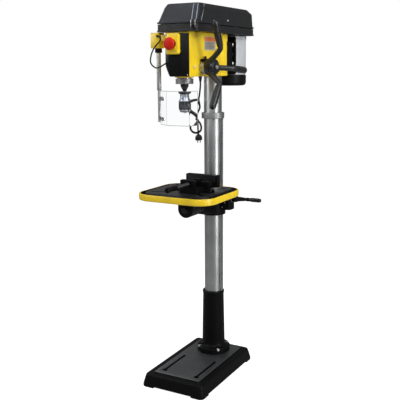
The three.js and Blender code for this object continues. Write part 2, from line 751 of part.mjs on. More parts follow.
function jawBar(r, from, to, turn) {
  const g = bar('z', r, from, to, [0, 0], 10);
  const lean = Math.atan2(JAW_TILT[0], JAW_TILT[1]);
  return g.rotateY(lean).translate(JAW_TIP[0], 0, JAW_TIP[1]).rotateZ(turn)
    .translate(SPINDLE_AT[0], SPINDLE_AT[1], 0);
}

function jawTurn(i) {
  return Math.PI / 6 + (2 * Math.PI * i) / 3;
}

function chuckBody() {
  const [low, high] = CHUCK_Z;
  const body = turnedAt([
    [0, high], [25, high], [26, high - 1], [26, 1277], [18.5, 1274], [20, 1262], [24.8, 1247.3],
    [16.2, 1247.3], [16.2, 1212.7], [23, 1212.7], [18, low], [7, low], [7, 1236], [0, 1236],
  ], ...SPINDLE_AT, 26);
  return cut(solid(body), ...[0, 1, 2].map((i) => jawBar(3.5, -4, 54, jawTurn(i))));
}

function chuckSleeve() {
  return turnedAt([[16.7, 1213.1], [24.4, 1213.1], [25.2, 1214], [25.2, 1246], [24.4, 1246.9], [16.7, 1246.9]],
    ...SPINDLE_AT, 26);
}

function chuckJaw(i) {
  return jawBar(3.05, 0, 38, jawTurn(i));
}

// ---------------------------------------------------------------- feed

function feedShaft() {
  return joined(
    bar('x', 9, -84, -25, [FEED_Y, FEED_Z], 16),
    bar('x', FEED_SHAFT_R, -26, 100, [FEED_Y, FEED_Z], 20));
}

function depthRing() {
  const bore = FEED_SHAFT_R + GAP;
  return turnedAlongX([[bore, 60.7], [28, 60.7], [29, 61.7], [29, 70], [27, 72], [bore, 72]],
    FEED_Y, FEED_Z, 28);
}

function hubProfile(by) {
  const bore = FEED_SHAFT_R + GAP;
  return [
    [bore, 72.3], [22 + by, 72.3], [24 + by, 79], [34 + by, 85 - by], [35 + by, 88], [35 + by, 116],
    [28 + by, 126], [12, 129 + by], [0, 129 + by], [0, 100.4], [bore, 100.4],
  ];
}

function feedHub() {
  return turnedAlongX(hubProfile(0), FEED_Y, FEED_Z, 28);
}

// turns a lever drawn pointing up from the feed axis to its place round it
function roundFeed(geometry, i) {
  const a = THREE.MathUtils.degToRad(FEED_START + 120 * i - 90);
  return geometry.rotateX(a).translate(0, FEED_Y, FEED_Z);
}

function feedLever(i) {
  const end = GRIP_R[0];
  const path = [[96, 0, 18], [122, 0, 42], [147, 0, 65], [159, 0, 76], [LEVER_X, 0, end - 5], [LEVER_X, 0, end]];
  const arm = solid(roundFeed(sweep(path, LEVER_R, 12, 10), i));
  return cut(arm, turnedAlongX(hubProfile(GAP).map(([r, x]) => [r < 15 ? 0 : r, x]), FEED_Y, FEED_Z, 28));
}

function feedGrip(i) {
  const [a, b] = GRIP_R;
  const start = a + GAP;
  const g = turnedAt([[0, start], [11, start], [12.5, start + 8], [14.5, b - 25], [14.5, b - 9], [10, b - 2], [0, b]],
    LEVER_X, 0, 14);
  return roundFeed(g, i);
}

function springCap() {
  return cut(solid(turnedAlongX([[0, -92], [30, -92], [34, -88], [34, -59.5], [0, -59.5]], FEED_Y, FEED_Z, 28)),
    bar('x', 9.4, -86, -58, [FEED_Y, FEED_Z], 16));
}

// ---------------------------------------------------------------- mains cord

const CORD_D = 7.5;
const CORD_EXIT = [-47, -30];
const HANK_TOP = [-86, -22, 1238];
const HANK_FOOT = [-78, -14, 1090];
const HANK_FACING = [0.466, -0.885, 0];  // way that the flat of the hank faces
const PLUG_SIDE = 9;            // how far beside the middle of the hank the plug hangs
const HANK_FOLD = 23;           // radius of the cord's own line in a fold
const HANK_WAIST = 7;           // half width of that line where the tie draws it in
const HANK_THICK = 30.8;

// axes of the hank: across it, up its length, and through its thickness
function hankAxes() {
  const top = new THREE.Vector3(...HANK_TOP);
  const foot = new THREE.Vector3(...HANK_FOOT);
  const up = top.clone().sub(foot).normalize();
  const middle = top.add(foot).multiplyScalar(0.5);
  const outward = new THREE.Vector3(...HANK_FACING);
  outward.addScaledVector(up, -outward.dot(up)).normalize();
  const side = new THREE.Vector3().crossVectors(up, outward);
  return new THREE.Matrix4().makeBasis(side, up, outward).setPosition(middle);
}

function inHank(side, up, outward) {
  return new THREE.Vector3(side, up, outward).applyMatrix4(hankAxes()).toArray();
}

function hankHalfLength() {
  return new THREE.Vector3(...HANK_TOP).distanceTo(new THREE.Vector3(...HANK_FOOT)) / 2;
}

// the folded cord as one bundle with round ends and a waist, its flat side towards the column
function cordHank() {
  const skin = CORD_D / 2 + 0.2;
  const run = hankHalfLength() - HANK_FOLD - skin;
  const right = [];
  for (let i = 1; i < 6; i += 1) {
    const t = Math.abs(i / 3 - 1);
    const r = HANK_WAIST + (HANK_FOLD - HANK_WAIST) * t * t * (3 - 2 * t);
    right.push([r + skin, run * (i / 3 - 1)]);
  }
  const fold = (from) => [0, 1, 2, 3, 4, 5, 6].map((i) => {
    const a = from + (Math.PI * i) / 6;
    return [(HANK_FOLD + skin) * Math.cos(a), (HANK_FOLD + skin) * Math.sin(a)];
  });
  const above = fold(0).map(([x, y]) => [x, y + run]);
  const below = fold(Math.PI).map(([x, y]) => [x, y - run]);
  const left = right.map(([x, y]) => [-x, -y]);
  const bundle = slab(outline([...right, ...above, ...left, ...below]), [-HANK_THICK / 2, HANK_THICK / 2]);
  return bundle.applyMatrix4(hankAxes());
}

function cordGland() {
  return turnedAt([[0, 1322], [5, 1322], [8, 1343], [8.5, 1347.6], [0, 1347.6]], ...CORD_EXIT, 14);
}

function mainsCord() {
  return sweep([
    [-47, -30, 1321.6], [-47, -30, 1308], [-49, -28.5, 1294], [-54, -23.5, 1277], [-60.5, -16.5, 1259],
    [-67, -9.5, 1245], inHank(HANK_FOLD, hankHalfLength() - 4, -11.4),
  ], CORD_D / 2, 16, 10);
}

function mainsPlug() {
  const top = inHank(PLUG_SIDE, -hankHalfLength() - 1.5, 11.4);
  const end = inHank(PLUG_SIDE, -hankHalfLength() - 41, 11.4);
  const profile = [[0, 0], [5, 0], [12, 5], [16, 15], [16, 27], [14, 29], [0, 29]];
  const pins = [-6, 6].map((x) => aimed(bar('z', 2.3, 28, 41, [0, x], 8), top, end));
  return joined(aimed(turned(profile, 16), top, end), ...pins);
}

// ---------------------------------------------------------------- the press

piece('base_casting', baseCasting(), castBlack);
piece('column_support', columnSupport(), castBlack);
piece('column_tube', columnTube(), steel);
piece('column_rack', columnRack(), steel);
piece('rack_collar', rackCollar(), steel);

piece('table_bracket', tableBracket(), castBlack);
piece('lift_gear', liftGear(), steel);
piece('crank', crank(), castBlack);
piece('crank_grip', crankGrip(), blackPlastic);
piece('column_lock', columnLock(), castBlack);
piece('work_table', workTable(), machined);
piece('tilt_bolt', tiltBolt(), steel);
piece('vise_body', viseBody(), castBlack);
piece('vise_jaw', viseJaw(), castBlack);
piece('vise_screw', viseScrew(), steel);
piece('vise_grip', viseGrip(), castBlack);

piece('head_casting', headCasting(), yellow);
piece('front_cover', frontCover(), blackPlastic);
piece('estop_box', stopBox(), yellow);
piece('estop_button', stopButton(), red);
piece('guard_switch_box', guardSwitchBox(), yellow);
piece('guard_tube', guardTube(), steel);
piece('guard_rod', guardRod(), steel);
piece('guard_shield', guardShield(), clear);
piece('guard_cable', guardCable(), rubber);

piece('belt_tray', beltTray(), coverPaint);
piece('belt_lid', beltLid(), coverPaint);
piece('lid_latch', lidLatch(), coverPaint);
piece('spindle_pulley', spindlePulley(), aluminium);
piece('idler_pulley', idlerPulley(), aluminium);
piece('motor_pulley', motorPulley(), aluminium);
piece('drive_belt_front', belt(-THROW, SPINDLE_STEPS[1], IDLER_Y, IDLER_STEPS[1], STEP_Z[1]), rubber);
piece('drive_belt_rear', belt(IDLER_Y, IDLER_STEPS[2], MOTOR_Y, MOTOR_STEPS[2], STEP_Z[2]), rubber);

piece('motor_body', motorBody(), aluminium);
piece('motor_fan_cover', motorFanCover(), blackPlastic);
piece('motor_plate', motorPlate(), castBlack);
piece('slide_bar_1', slideBar(-BAR_X), steel);
piece('slide_bar_2', slideBar(BAR_X), steel);

piece('quill', quill(), steel);
piece('quill_collar', quillCollar(), steel);
piece('spindle', spindle(), steel);
piece('chuck_body', chuckBody(), steel);
piece('chuck_sleeve', chuckSleeve(), steel);

piece('feed_shaft', feedShaft(), steel);
piece('depth_ring', depthRing(), aluminium);
piece('feed_hub', feedHub(), castBlack);
piece('spring_cap', springCap(), castBlack);
for (let i = 0; i < 3; i += 1) {
  piece(`chuck_jaw_${i + 1}`, chuckJaw(i), steel);
  piece(`feed_lever_${i + 1}`, feedLever(i), castBlack);
  piece(`feed_grip_${i + 1}`, feedGrip(i), blackPlastic);
}

piece('cord_gland', cordGland(), rubber);
piece('mains_cord', mainsCord(), rubber);
piece('cord_hank', cordHank(), rubber);
piece('mains_plug', mainsPlug(), rubber);

export default press;
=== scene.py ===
"""Looks of a floor-standing drill press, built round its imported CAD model.

Sizes are in millimetres about the column's axis: x to the operator's right, y towards the back,
z up from the floor. They become metres in the row frame when a piece is settled.
"""

import json
import math

import bmesh
import bpy
from mathutils import Matrix, Vector


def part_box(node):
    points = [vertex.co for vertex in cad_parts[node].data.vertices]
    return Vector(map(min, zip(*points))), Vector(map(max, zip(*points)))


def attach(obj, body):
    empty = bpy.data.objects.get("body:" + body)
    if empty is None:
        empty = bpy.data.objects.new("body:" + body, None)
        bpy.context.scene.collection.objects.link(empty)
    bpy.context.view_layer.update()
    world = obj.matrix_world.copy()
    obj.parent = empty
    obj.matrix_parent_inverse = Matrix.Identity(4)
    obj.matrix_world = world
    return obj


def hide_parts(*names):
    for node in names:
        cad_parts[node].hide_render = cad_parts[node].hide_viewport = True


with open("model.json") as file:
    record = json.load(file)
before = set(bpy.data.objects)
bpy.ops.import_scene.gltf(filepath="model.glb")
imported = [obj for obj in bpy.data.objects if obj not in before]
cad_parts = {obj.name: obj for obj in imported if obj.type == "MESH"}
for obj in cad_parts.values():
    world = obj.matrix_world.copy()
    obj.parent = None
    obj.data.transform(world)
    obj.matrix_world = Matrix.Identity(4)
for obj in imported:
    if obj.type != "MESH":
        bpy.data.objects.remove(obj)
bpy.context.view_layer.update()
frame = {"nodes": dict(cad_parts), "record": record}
MM = 0.001
SCENE = bpy.context.scene

tube_low, tube_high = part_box("column_tube")
AXIS = Vector(((tube_low.x + tube_high.x) / 2, (tube_low.y + tube_high.y) / 2, 0.0))


def at(x, y, z):
    """A point given about the column's axis, in the row frame."""
    return AXIS + Vector((x, y, z)) * MM


def span(node):
    """How far a CAD body reaches along x, y and z."""
    low, high = ((corner - AXIS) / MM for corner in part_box(node))
    return [(round(start, 1), round(end, 1)) for start, end in zip(low, high)]


def middle(node):
    """The middle of a CAD body's box."""
    return Vector([(start + end) / 2 for start, end in span(node)])


# places of the main bodies and axes, as the CAD has them
BASE_X, BASE_Y = span("base_casting")[:2]
TABLE_Y = middle("work_table").y
TILT_Z = middle("tilt_bolt").z
GRIP_Y, GRIP_Z = middle("crank_grip").yz
VISE_X, SCREW_Z = middle("vise_screw").xz
SPINDLE_Y = middle("spindle").y
IDLER_Y = middle("idler_pulley").y
MOTOR_Y = middle("motor_pulley").y
FEED_Y, FEED_Z = middle("feed_hub").yz
STOP_X, STOP_Z = middle("estop_button").xz
GUARD_X, GUARD_Y = middle("guard_tube").xy
BARS_X, BARS_Z = middle("slide_bar_2").xz

# ---------------- camera, floor and light

CAMERA_AT = (1451.25, -2757.33, 1381.25)
CAMERA_AZIMUTH = 28.79
CAMERA_PITCH = 10.83
CAMERA_ROLL = -0.35
CAMERA_LENS = 61.95
CAMERA_SHIFT = -0.0025
ROOM_LIGHT = 0.2
FLOOR_LIGHT, FLOOR_SEEN = 0.03, 0.93
FLOOR_HALF = 9

# place, aim, width and height in metres, and watts
LIGHTS = {
    "key": ((-2.2, -2.4, 2.6), (0, 0, 0.9), (1.0, 2.4), 40),
    "fill": ((3.4, -0.7, 1.75), (0, 0, 1.2), (0.9, 3.2), 52),
    "side": ((3.0, -0.5, 3.4), (0, 0, 1.3), (2.4, 1.6), 60),
    "front": ((2.1, -3.9, 3.5), (0, 0, 1.4), (1.6, 1.2), 50),
    "strip": ((1.7, -0.36, 0.85), (0, 0, 0.8), (0.22, 1.6), 3.5),
    "rim": ((-3.2, 0.9, 2.4), (0, 0, 1.1), (1.6, 1.6), 30),
    "ceiling": ((-0.5, -0.8, 4.5), (0, 0, 0), (3, 3), 45),
}


def make_camera():
    data = bpy.data.cameras.new("camera")
    data.lens = CAMERA_LENS
    data.sensor_width = 36
    data.shift_x = CAMERA_SHIFT
    data.clip_start = 0.05
    data.clip_end = 60
    camera = bpy.data.objects.new("camera", data)
    SCENE.collection.objects.link(camera)
    place = Matrix.Translation(at(*CAMERA_AT))
    for degrees, axis in ((CAMERA_AZIMUTH, "Z"), (90 - CAMERA_PITCH, "X"), (CAMERA_ROLL, "Z")):
        place = place @ Matrix.Rotation(math.radians(degrees), 4, axis)
    camera.matrix_world = place
    SCENE.camera = camera


def make_light(name, place, aim, size, watts):
    data = bpy.data.lights.new(name, "AREA")
    data.shape = "RECTANGLE"
    data.size, data.size_y = size
    data.energy = watts
    light = bpy.data.objects.new(name, data)
    SCENE.collection.objects.link(light)
    light.location = place
    light.visible_camera = False
    light.rotation_mode = "QUATERNION"
    light.rotation_quaternion = (Vector(aim) - Vector(place)).to_track_quat("-Z", "Y")


def fill(tree, node, inputs):
    """Sets a node's inputs. One that is given another node's socket is linked to it."""
    for name, value in inputs.items():
        socket = node.inputs[name.replace("_", " ")]
        if isinstance(value, bpy.types.NodeSocket):
            tree.links.new(value, socket)
        else:
            socket.default_value = value


def added(tree, kind, output, **inputs):
    """A new node's output."""
    node = tree.nodes.new("ShaderNode" + kind)
    fill(tree, node, inputs)
    return node.outputs[output]


def glow(tree, lighting, looked_at):
    """One brightness for what a surface gives to the object, another for what the viewer sees."""
    path = tree.nodes.new("ShaderNodeLightPath").outputs
    seen = tree.nodes.new("ShaderNodeMath")
    seen.operation = "MAXIMUM"
    tree.links.new(path["Is Camera Ray"], seen.inputs[0])
    tree.links.new(path["Is Transmission Ray"], seen.inputs[1])
    return added(tree, "MapRange", "Result", Value=seen.outputs[0], To_Min=lighting, To_Max=looked_at)


def make_room():
    SCENE.view_settings.view_transform = "Standard"
    world = bpy.data.worlds.new("studio")
    world.use_nodes = True
    tree = world.node_tree
    fill(tree, tree.nodes["Background"], {"Color": (1, 1, 1, 1), "Strength": glow(tree, ROOM_LIGHT, 1.0)})
    SCENE.world = world


def make_floor():
    half = FLOOR_HALF
    mesh = bpy.data.meshes.new("floor")
    corners = [(-half, -half, 0), (half, -half, 0), (half, half, 0), (-half, half, 0)]
    mesh.from_pydata(corners, [], [(0, 1, 2, 3)])
    floor = bpy.data.objects.new("floor", mesh)
    SCENE.collection.objects.link(floor)
    pale = bpy.data.materials.new("floor_pale")
    pale.use_nodes = True
    tree = pale.node_tree
    fill(tree, tree.nodes["Principled BSDF"], {
        "Base Color": (0.35, 0.35, 0.35, 1), "Specular IOR Level": 0.0, "Roughness": 0.9,
        "Emission Color": (1, 1, 1, 1), "Emission Strength": glow(tree, FLOOR_LIGHT, FLOOR_SEEN)})
    mesh.materials.append(pale)


make_camera()
make_room()
make_floor()
for light_name, light_facts in LIGHTS.items():
    make_light(light_name, *light_facts)

# ---------------- materials


class Shade:
    """A node material under construction, in object coordinates (metres)."""

    def __init__(self, name):
        self.material = bpy.data.materials.new(name)
        self.material.use_nodes = True
        self.tree = self.material.node_tree
        self.place = self.tree.nodes.new("ShaderNodeTexCoord").outputs["Object"]

    def set(self, **inputs):
        fill(self.tree, self.tree.nodes["Principled BSDF"], inputs)

    def noise(self, scale, detail=3):
        return added(self.tree, "TexNoise", "Fac", Vector=self.place, Scale=scale, Detail=detail)

    def lines(self, stretch):
        """Fine lines: a noise squeezed by its own factor along x, y and z."""
        place = added(self.tree, "Mapping", "Vector", Vector=self.place, Scale=stretch)
        return added(self.tree, "TexNoise", "Fac", Vector=place, Scale=1, Detail=4, Roughness=0.6)

    def rough(self, value, low, high):
        """Spreads the middle of a noise over a range of roughness."""
        self.set(Roughness=added(self.tree, "MapRange", "Result", Value=value, From_Min=0.3, From_Max=0.7,
                                 To_Min=low, To_Max=high))

    def clouds(self, value, colour, edge, dark, light):
        """A colour that drifts with a noise between a darker and a lighter tone."""
        node = self.tree.nodes.new("ShaderNodeValToRGB")
        stops = ((edge, dark), (1 - edge, light))
        for element, (place, factor) in zip(node.color_ramp.elements, stops):
            element.position = place
            element.color = (*[part * factor for part in colour], 1)
        fill(self.tree, node, {"Fac": value})
        self.set(Base_Color=node.outputs["Color"])

    def bump(self, *layers):
        """layers: (value, strength, distance in mm)"""
        under = {}
        for value, strength, distance in layers:
            under["Normal"] = added(self.tree, "Bump", "Normal", Height=value, Strength=strength,
                                    Distance=distance * MM, **under)
        self.set(**under)


def enamel(name, colour, roughness, lumps=0.5, grain=0.25, coat=0.25, gloss=0.5):
    """Paint over cast iron or sheet: soft lumps, fine orange peel and a little uneven gloss."""
    shade = Shade(name)
    shade.clouds(shade.noise(9, 4), colour, 0.3, 0.86, 1.06)
    shade.rough(shade.noise(55), roughness - 0.06, roughness + 0.1)
    shade.set(Coat_Weight=coat, Coat_Roughness=0.12, Specular_IOR_Level=gloss)
    shade.bump((shade.noise(70, 2), 0.35, lumps), (shade.noise(620, 2), 0.35, grain * 0.3))
    return shade.material


def turned_steel(name, colour, roughness, stretch, depth=0.05):
    """Ground or turned metal: fine lines one way, faint stains, uneven polish."""
    shade = Shade(name)
    shade.set(Metallic=1.0)
    lines = shade.lines(stretch)
    shade.clouds(shade.noise(14, 4), colour, 0.25, 0.8, 1.08)
    shade.rough(lines, roughness - 0.09, roughness + 0.12)
    shade.bump((lines, 0.4, depth))
    return shade.material


def moulded(name, colour, roughness, grain=0.05, scale=1500, gloss=0.5):
    """Moulded plastic or rubber with a fine grain."""
    shade = Shade(name)
    shade.clouds(shade.noise(18), colour, 0.3, 0.8, 1.15)
    shade.rough(shade.noise(70), roughness - 0.07, roughness + 0.09)
    shade.set(Specular_IOR_Level=gloss)
    shade.bump((shade.noise(scale, 2), 0.4, grain))
    return shade.material


def clear_sheet(name):
    shade = Shade(name)
    shade.set(Base_Color=(0.97, 0.985, 0.99, 1), Transmission_Weight=1.0, IOR=1.12)
    shade.rough(shade.noise(40), 0.02, 0.09)
    shade.bump((shade.noise(16, 2), 0.15, 0.2))
    return shade.material


YELLOW = (0.89, 0.62, 0.012)
# colour, roughness, then the height of lumps and grain in mm, coat and gloss
ENAMELS = {
    "black_cast": ((0.0028, 0.0028, 0.0032), 0.42, 0.5, 0.4, 0.0, 0.09),
    "trough_black": ((0.003, 0.003, 0.0034), 0.4, 0.4, 0.4, 0.0, 0.18),
    "lever_black": ((0.011, 0.0115, 0.0125), 0.34, 0.3, 0.2, 0.1, 0.4),
    "yellow_cast": (YELLOW, 0.36, 0.6, 0.3),
    "yellow_box": (YELLOW, 0.34, 0.15, 0.25),
    "cover_paint": ((0.009, 0.0115, 0.019), 0.4, 0.2, 0.5, 0.0, 0.4),
    # painted shade: the tray's and latch's darker, greyer paint also goes on the lid's sides and back, so
    # they look shaded beside its lighter navy front and top
    "lid_side": ((0.0075, 0.008, 0.009), 0.44, 0.2, 0.5, 0.0, 0.4),
    # painted highlight: a lighter blue-grey on the lid's ribs, for the light that its corner edges catch
    "rib_navy": ((0.24, 0.28, 0.36), 0.3, 0.1, 0.2, 0.3),
    "motor_silver": ((0.47, 0.49, 0.51), 0.38, 0.1, 0.2, 0.2),
}
# colour, roughness, how close the lines lie along x, y and z, and their depth in mm
METALS = {
    "machined_iron": ((0.1, 0.103, 0.103), 0.38, (60, 1400, 60), 0.06),
    "base_face": ((0.165, 0.173, 0.177), 0.46, (1500, 50, 50), 0.05),
    "column_steel": ((0.43, 0.44, 0.44), 0.36, (25, 25, 2600), 0.008),
    "shaft_steel": ((0.5, 0.51, 0.53), 0.28, (40, 40, 3000), 0.04),
    "collar_steel": ((0.33, 0.33, 0.335), 0.48, (40, 40, 2600), 0.05),
    "chuck_steel": ((0.055, 0.055, 0.06), 0.34, (40, 40, 3000), 0.04),
    "chuck_bright": ((0.26, 0.27, 0.3), 0.28, (40, 40, 3000), 0.04),
    "depth_silver": ((0.4, 0.41, 0.41), 0.36, (2600, 40, 40), 0.04),
    "cast_alloy": ((0.56, 0.57, 0.59), 0.4, (300, 300, 300), 0.06),
    "blackened": ((0.045, 0.045, 0.048), 0.4, (300, 300, 300), 0.04),
    "zinc": ((0.74, 0.74, 0.72), 0.3, (200, 200, 200), 0.03),
}
# colour, roughness, then the grain's depth in mm, its scale and the gloss
PLASTICS = {
    "black_plastic": ((0.0038, 0.0038, 0.0044), 0.42, 0.05, 1500, 0.14),
    "grip_plastic": ((0.007, 0.007, 0.008), 0.3, 0.02, 900, 0.45),
    "red_plastic": ((0.55, 0.011, 0.003), 0.42, 0.02, 900, 0.2),
    "belt_rubber": ((0.012, 0.012, 0.012), 0.7, 0.12, 1100, 0.3),
    "cord_rubber": ((0.006, 0.006, 0.0065), 0.46, 0.05, 1300, 0.35),
    "guard_line": ((0.1, 0.11, 0.115), 0.4),
    "label_grey": ((0.34, 0.33, 0.28), 0.5),
    "label_orange": ((0.6, 0.14, 0.03), 0.45),
    "mark_cream": ((0.72, 0.62, 0.3), 0.5),
}
MAT = {"clear_plastic": clear_sheet("clear_plastic")}
for make_material, looks in ((enamel, ENAMELS), (turned_steel, METALS), (moulded, PLASTICS)):
    for material_name, facts in looks.items():
        MAT[material_name] = make_material(material_name, *facts)

for part in frame["record"]["subparts"]:
    mesh = frame["nodes"][part["node"]].data
    mesh.materials.clear()
    mesh.materials.append(MAT[part["material_slot"]])

# ---------------- shapes
# A shape is (points, faces), drawn in millimetres.


def fillet(points, steps=4):
    """Rounds the corners of an outline that carry a radius as their third number."""
    out = []
    for i, point in enumerate(points):
        here = Vector(point[:2])
        if len(point) < 3:
            out.append(tuple(here))
            continue
        before = Vector(points[i - 1][:2]) - here
        after = Vector(points[(i + 1) % len(points)][:2]) - here
        reach = point[2] / math.tan(before.angle(after) / 2)
        reach = min(reach, before.length * 0.49, after.length * 0.49)
        start = here + before.normalized() * reach
        end = here + after.normalized() * reach
        for k in range(steps + 1):
            t = k / steps
            out.append(tuple(start * (1 - t) ** 2 + here * 2 * t * (1 - t) + end * t ** 2))
    return out


def lathe(profile, segments=64):
    """profile: (radius, height) from one end of the axis to the other, or a closed ring."""
    points, rows = [], []
    for r, h in profile:
        count = segments if r else 1
        rows.append(range(len(points), len(points) + count))
        for k in range(count):
            angle = 2 * math.pi * k / segments
            points.append((r * math.cos(angle), r * math.sin(angle), h))
    if profile[0][0] and profile[-1][0]:
        rows.append(rows[0])
    faces = []
    for low, high in zip(rows, rows[1:]):
        for k in range(segments):
            n = (k + 1) % segments
            corners = (low[k % len(low)], low[n % len(low)], high[n % len(high)], high[k % len(high)])
            face = list(dict.fromkeys(corners))
            if len(face) > 2:
                faces.append(face)
    return points, faces


def turning(profile, steps=4, segments=48):
    """A lathed shape with the corners of its profile rounded."""
    return lathe(fillet(profile, steps), segments)


def rings(rows, capped=True):
    """A skin through rows of equal numbers of 3-D points."""
    n = len(rows[0])
    points = [p for row in rows for p in row]
    faces = []
    for k in range(len(rows) - 1):
        for i in range(n):
            a, b = k * n + i, k * n + (i + 1) % n
            faces.append([a, b, b + n, a + n])
    last = (len(rows) - 1) * n
    if capped:
        faces.append(list(range(n))[::-1])
        faces.append([last + i for i in range(n)])
    else:
        faces += [[last + i, last + (i + 1) % n, (i + 1) % n, i] for i in range(n)]
    return points, faces


def prism(outline, low, high):
    return rings([[(x, y, z) for x, y in outline] for z in (low, high)])


def prism_x(outline, low, high):
    """An outline of (y, z) points drawn out along x."""
    return rings([[(x, y, z) for y, z in outline] for x in (low, high)])


def prism_y(outline, low, high):
    """An outline of (x, z) points drawn out along y."""
    return rings([[(x, y, z) for x, z in outline] for y in (low, high)])


def block(x, y, z):
    return prism([(x[0], y[0]), (x[1], y[0]), (x[1], y[1]), (x[0], y[1])], *z)


def rod(r, low, high, segments=48, chamfer=0.0):
    if chamfer:
        return lathe([(0, low), (r - chamfer, low), (r, low + chamfer), (r, high - chamfer),
                      (r - chamfer, high), (0, high)], segments)
    return lathe([(0, low), (r, low), (r, high), (0, high)], segments)


def moved(shape, dx=0.0, dy=0.0, dz=0.0):
    return [(x + dx, y + dy, z + dz) for x, y, z in shape[0]], shape[1]


def along_x(shape, *to):
    """Lays a shape drawn up the z axis along x, then moves it."""
    return moved(([(z, x, y) for x, y, z in shape[0]], shape[1]), *to)


def along_y(shape, *to):
    """Like along_x, but along y."""
    return moved(([(y, z, x) for x, y, z in shape[0]], shape[1]), *to)


def along_front(shape, *to):
    """Like along_y, but towards the operator."""
    return moved(([(x, -z, y) for x, y, z in shape[0]], shape[1]), *to)


def spun(shape, degrees, axis="Z"):
    turn = Matrix.Rotation(math.radians(degrees), 3, axis)
    return [tuple(turn @ Vector(p)) for p in shape[0]], shape[1]


def aimed(shape, start, end):
    """Moves a shape drawn up the z axis so that it runs from start towards end."""
    way = Vector(end) - Vector(start)
    turn = way.to_track_quat("Z", "Y").to_matrix()
    return [tuple(turn @ Vector(p) + Vector(start)) for p in shape[0]], shape[1]


def together(*shapes):
    points, faces = [], []
    for more_points, more_faces in shapes:
        shift = len(points)
        points += more_points
        faces += [[i + shift for i in face] for face in more_faces]
    return points, faces


def copies(shape, places):
    """One shape at each of the places, as one shape."""
    return together(*[moved(shape, *place) for place in places])


def rrect(x, y, r_front, r_rear=None, steps=8):
    """Outline of a rectangle with round corners, anticlockwise from the rear right."""
    r_rear = r_front if r_rear is None else r_rear
    corners = [(x[1] - r_rear, y[1] - r_rear, r_rear), (x[0] + r_rear, y[1] - r_rear, r_rear),
               (x[0] + r_front, y[0] + r_front, r_front), (x[1] - r_front, y[0] + r_front, r_front)]
    out = []
    for quarter, (cx, cy, r) in enumerate(corners):
        for i in range(steps + 1):
            angle = math.pi / 2 * (quarter + i / steps)
            out.append((cx + r * math.cos(angle), cy + r * math.sin(angle)))
    return out


def rrect_row(z, x, y, *radii, grow=0.0, steps=8):
    """A rounded rectangle at a height, grown all round."""
    outline = rrect((x[0] - grow, x[1] + grow), (y[0] - grow, y[1] + grow), *radii, steps=steps)
    return [(px, py, z) for px, py in outline]


def swept(path, radius, segments=16):
    """A round section along a path of points; radius is a number or a list with one for each."""
    path = [Vector(p) for p in path]
    radii = radius if isinstance(radius, list) else [radius] * len(path)
    angles = [2 * math.pi * k / segments for k in range(segments)]
    rows, normal = [], None
    for i, p in enumerate(path):
        way = (path[min(i + 1, len(path) - 1)] - path[max(i - 1, 0)]).normalized()
        if normal is None:
            normal = way.orthogonal().normalized()
        normal = (normal - way * normal.dot(way)).normalized()
        other = way.cross(normal)
        rows.append([tuple(p + (normal * math.cos(a) + other * math.sin(a)) * radii[i]) for a in angles])
    return rings(rows)


def spline(points, count):
    """Points along a smooth curve through the given ones."""
    pts = [Vector(p) for p in points]
    pts = [pts[0] * 2 - pts[1]] + pts + [pts[-1] * 2 - pts[-2]]
    spans = len(pts) - 3
    out = []
    for k in range(count + 1):
        t = k / count * spans
        i = min(int(t), spans - 1)
        u = t - i
        a, b, c, d = pts[i:i + 4]
        out.append(0.5 * ((2 * b) + (c - a) * u + (2 * a - 5 * b + 4 * c - d) * u ** 2
                          + (3 * b - a - 3 * c + d) * u ** 3))
    return out


def hex_bolt(r, height, washer=0.0, shank=0.0):
    """A bolt head above z = 0, on its washer if it has one, and its shank below."""
    head = lathe([(0, washer), (r * 0.93, washer), (r, washer + 0.6), (r, washer + height - 0.9),
                  (r * 0.86, washer + height), (0, washer + height)], 6)
    parts = [head]
    if washer:
        parts.append(rod(r * 1.25, 0.05, washer, 32, 0.3))
    if shank:
        parts.append(rod(r * 0.55, -shank, 0.1, 24))
    return together(*parts)


def socket_screw(r, height):
    """A round head with a hexagon socket."""
    rim = [(r * 0.5, height - 0.1), (r * 0.5, height * 0.35), (0, height * 0.35)]
    return lathe([(0, 0), (r, 0), (r, height - 0.6), (r - 0.6, height)] + rim, 24)


# ---------------- pieces


def new_object(name, shape):
    mesh = bpy.data.meshes.new(name)
    mesh.from_pydata([tuple(p) for p in shape[0]], [], shape[1])
    grid = bmesh.new()
    grid.from_mesh(mesh)
    bmesh.ops.recalc_face_normals(grid, faces=grid.faces)
    grid.to_mesh(mesh)
    grid.free()
    obj = bpy.data.objects.new(name, mesh)
    SCENE.collection.objects.link(obj)
    return obj


def shape_of(obj):
    """Takes the shape out of an object that was only a step on the way."""
    mesh = obj.data
    shape = [tuple(v.co) for v in mesh.vertices], [list(face.vertices) for face in mesh.polygons]
    bpy.data.objects.remove(obj)
    return shape


def modified(obj, kind, **settings):
    """Applies one modifier."""
    step = obj.modifiers.new("step", kind)
    for name, value in settings.items():
        setattr(step, name, value)
    graph = bpy.context.evaluated_depsgraph_get()
    mesh = bpy.data.meshes.new_from_object(obj.evaluated_get(graph))
    obj.modifiers.clear()
    obj.data = mesh


def boolean(obj, shape, operation="DIFFERENCE"):
    tool = new_object("tool", shape)
    modified(obj, "BOOLEAN", object=tool, operation=operation, solver="EXACT")
    bpy.data.objects.remove(tool)


def built(name, shapes, cuts=()):
    """One object of the shapes joined, less the cuts."""
    obj = new_object(name, shapes[0])
    for shape in shapes[1:]:
        boolean(obj, shape, "UNION")
    for cutter in cuts:
        boolean(obj, cutter)
    return obj


def bevelled(obj, width):
    modified(obj, "BEVEL", width=width, segments=3, limit_method="ANGLE", angle_limit=math.radians(38))


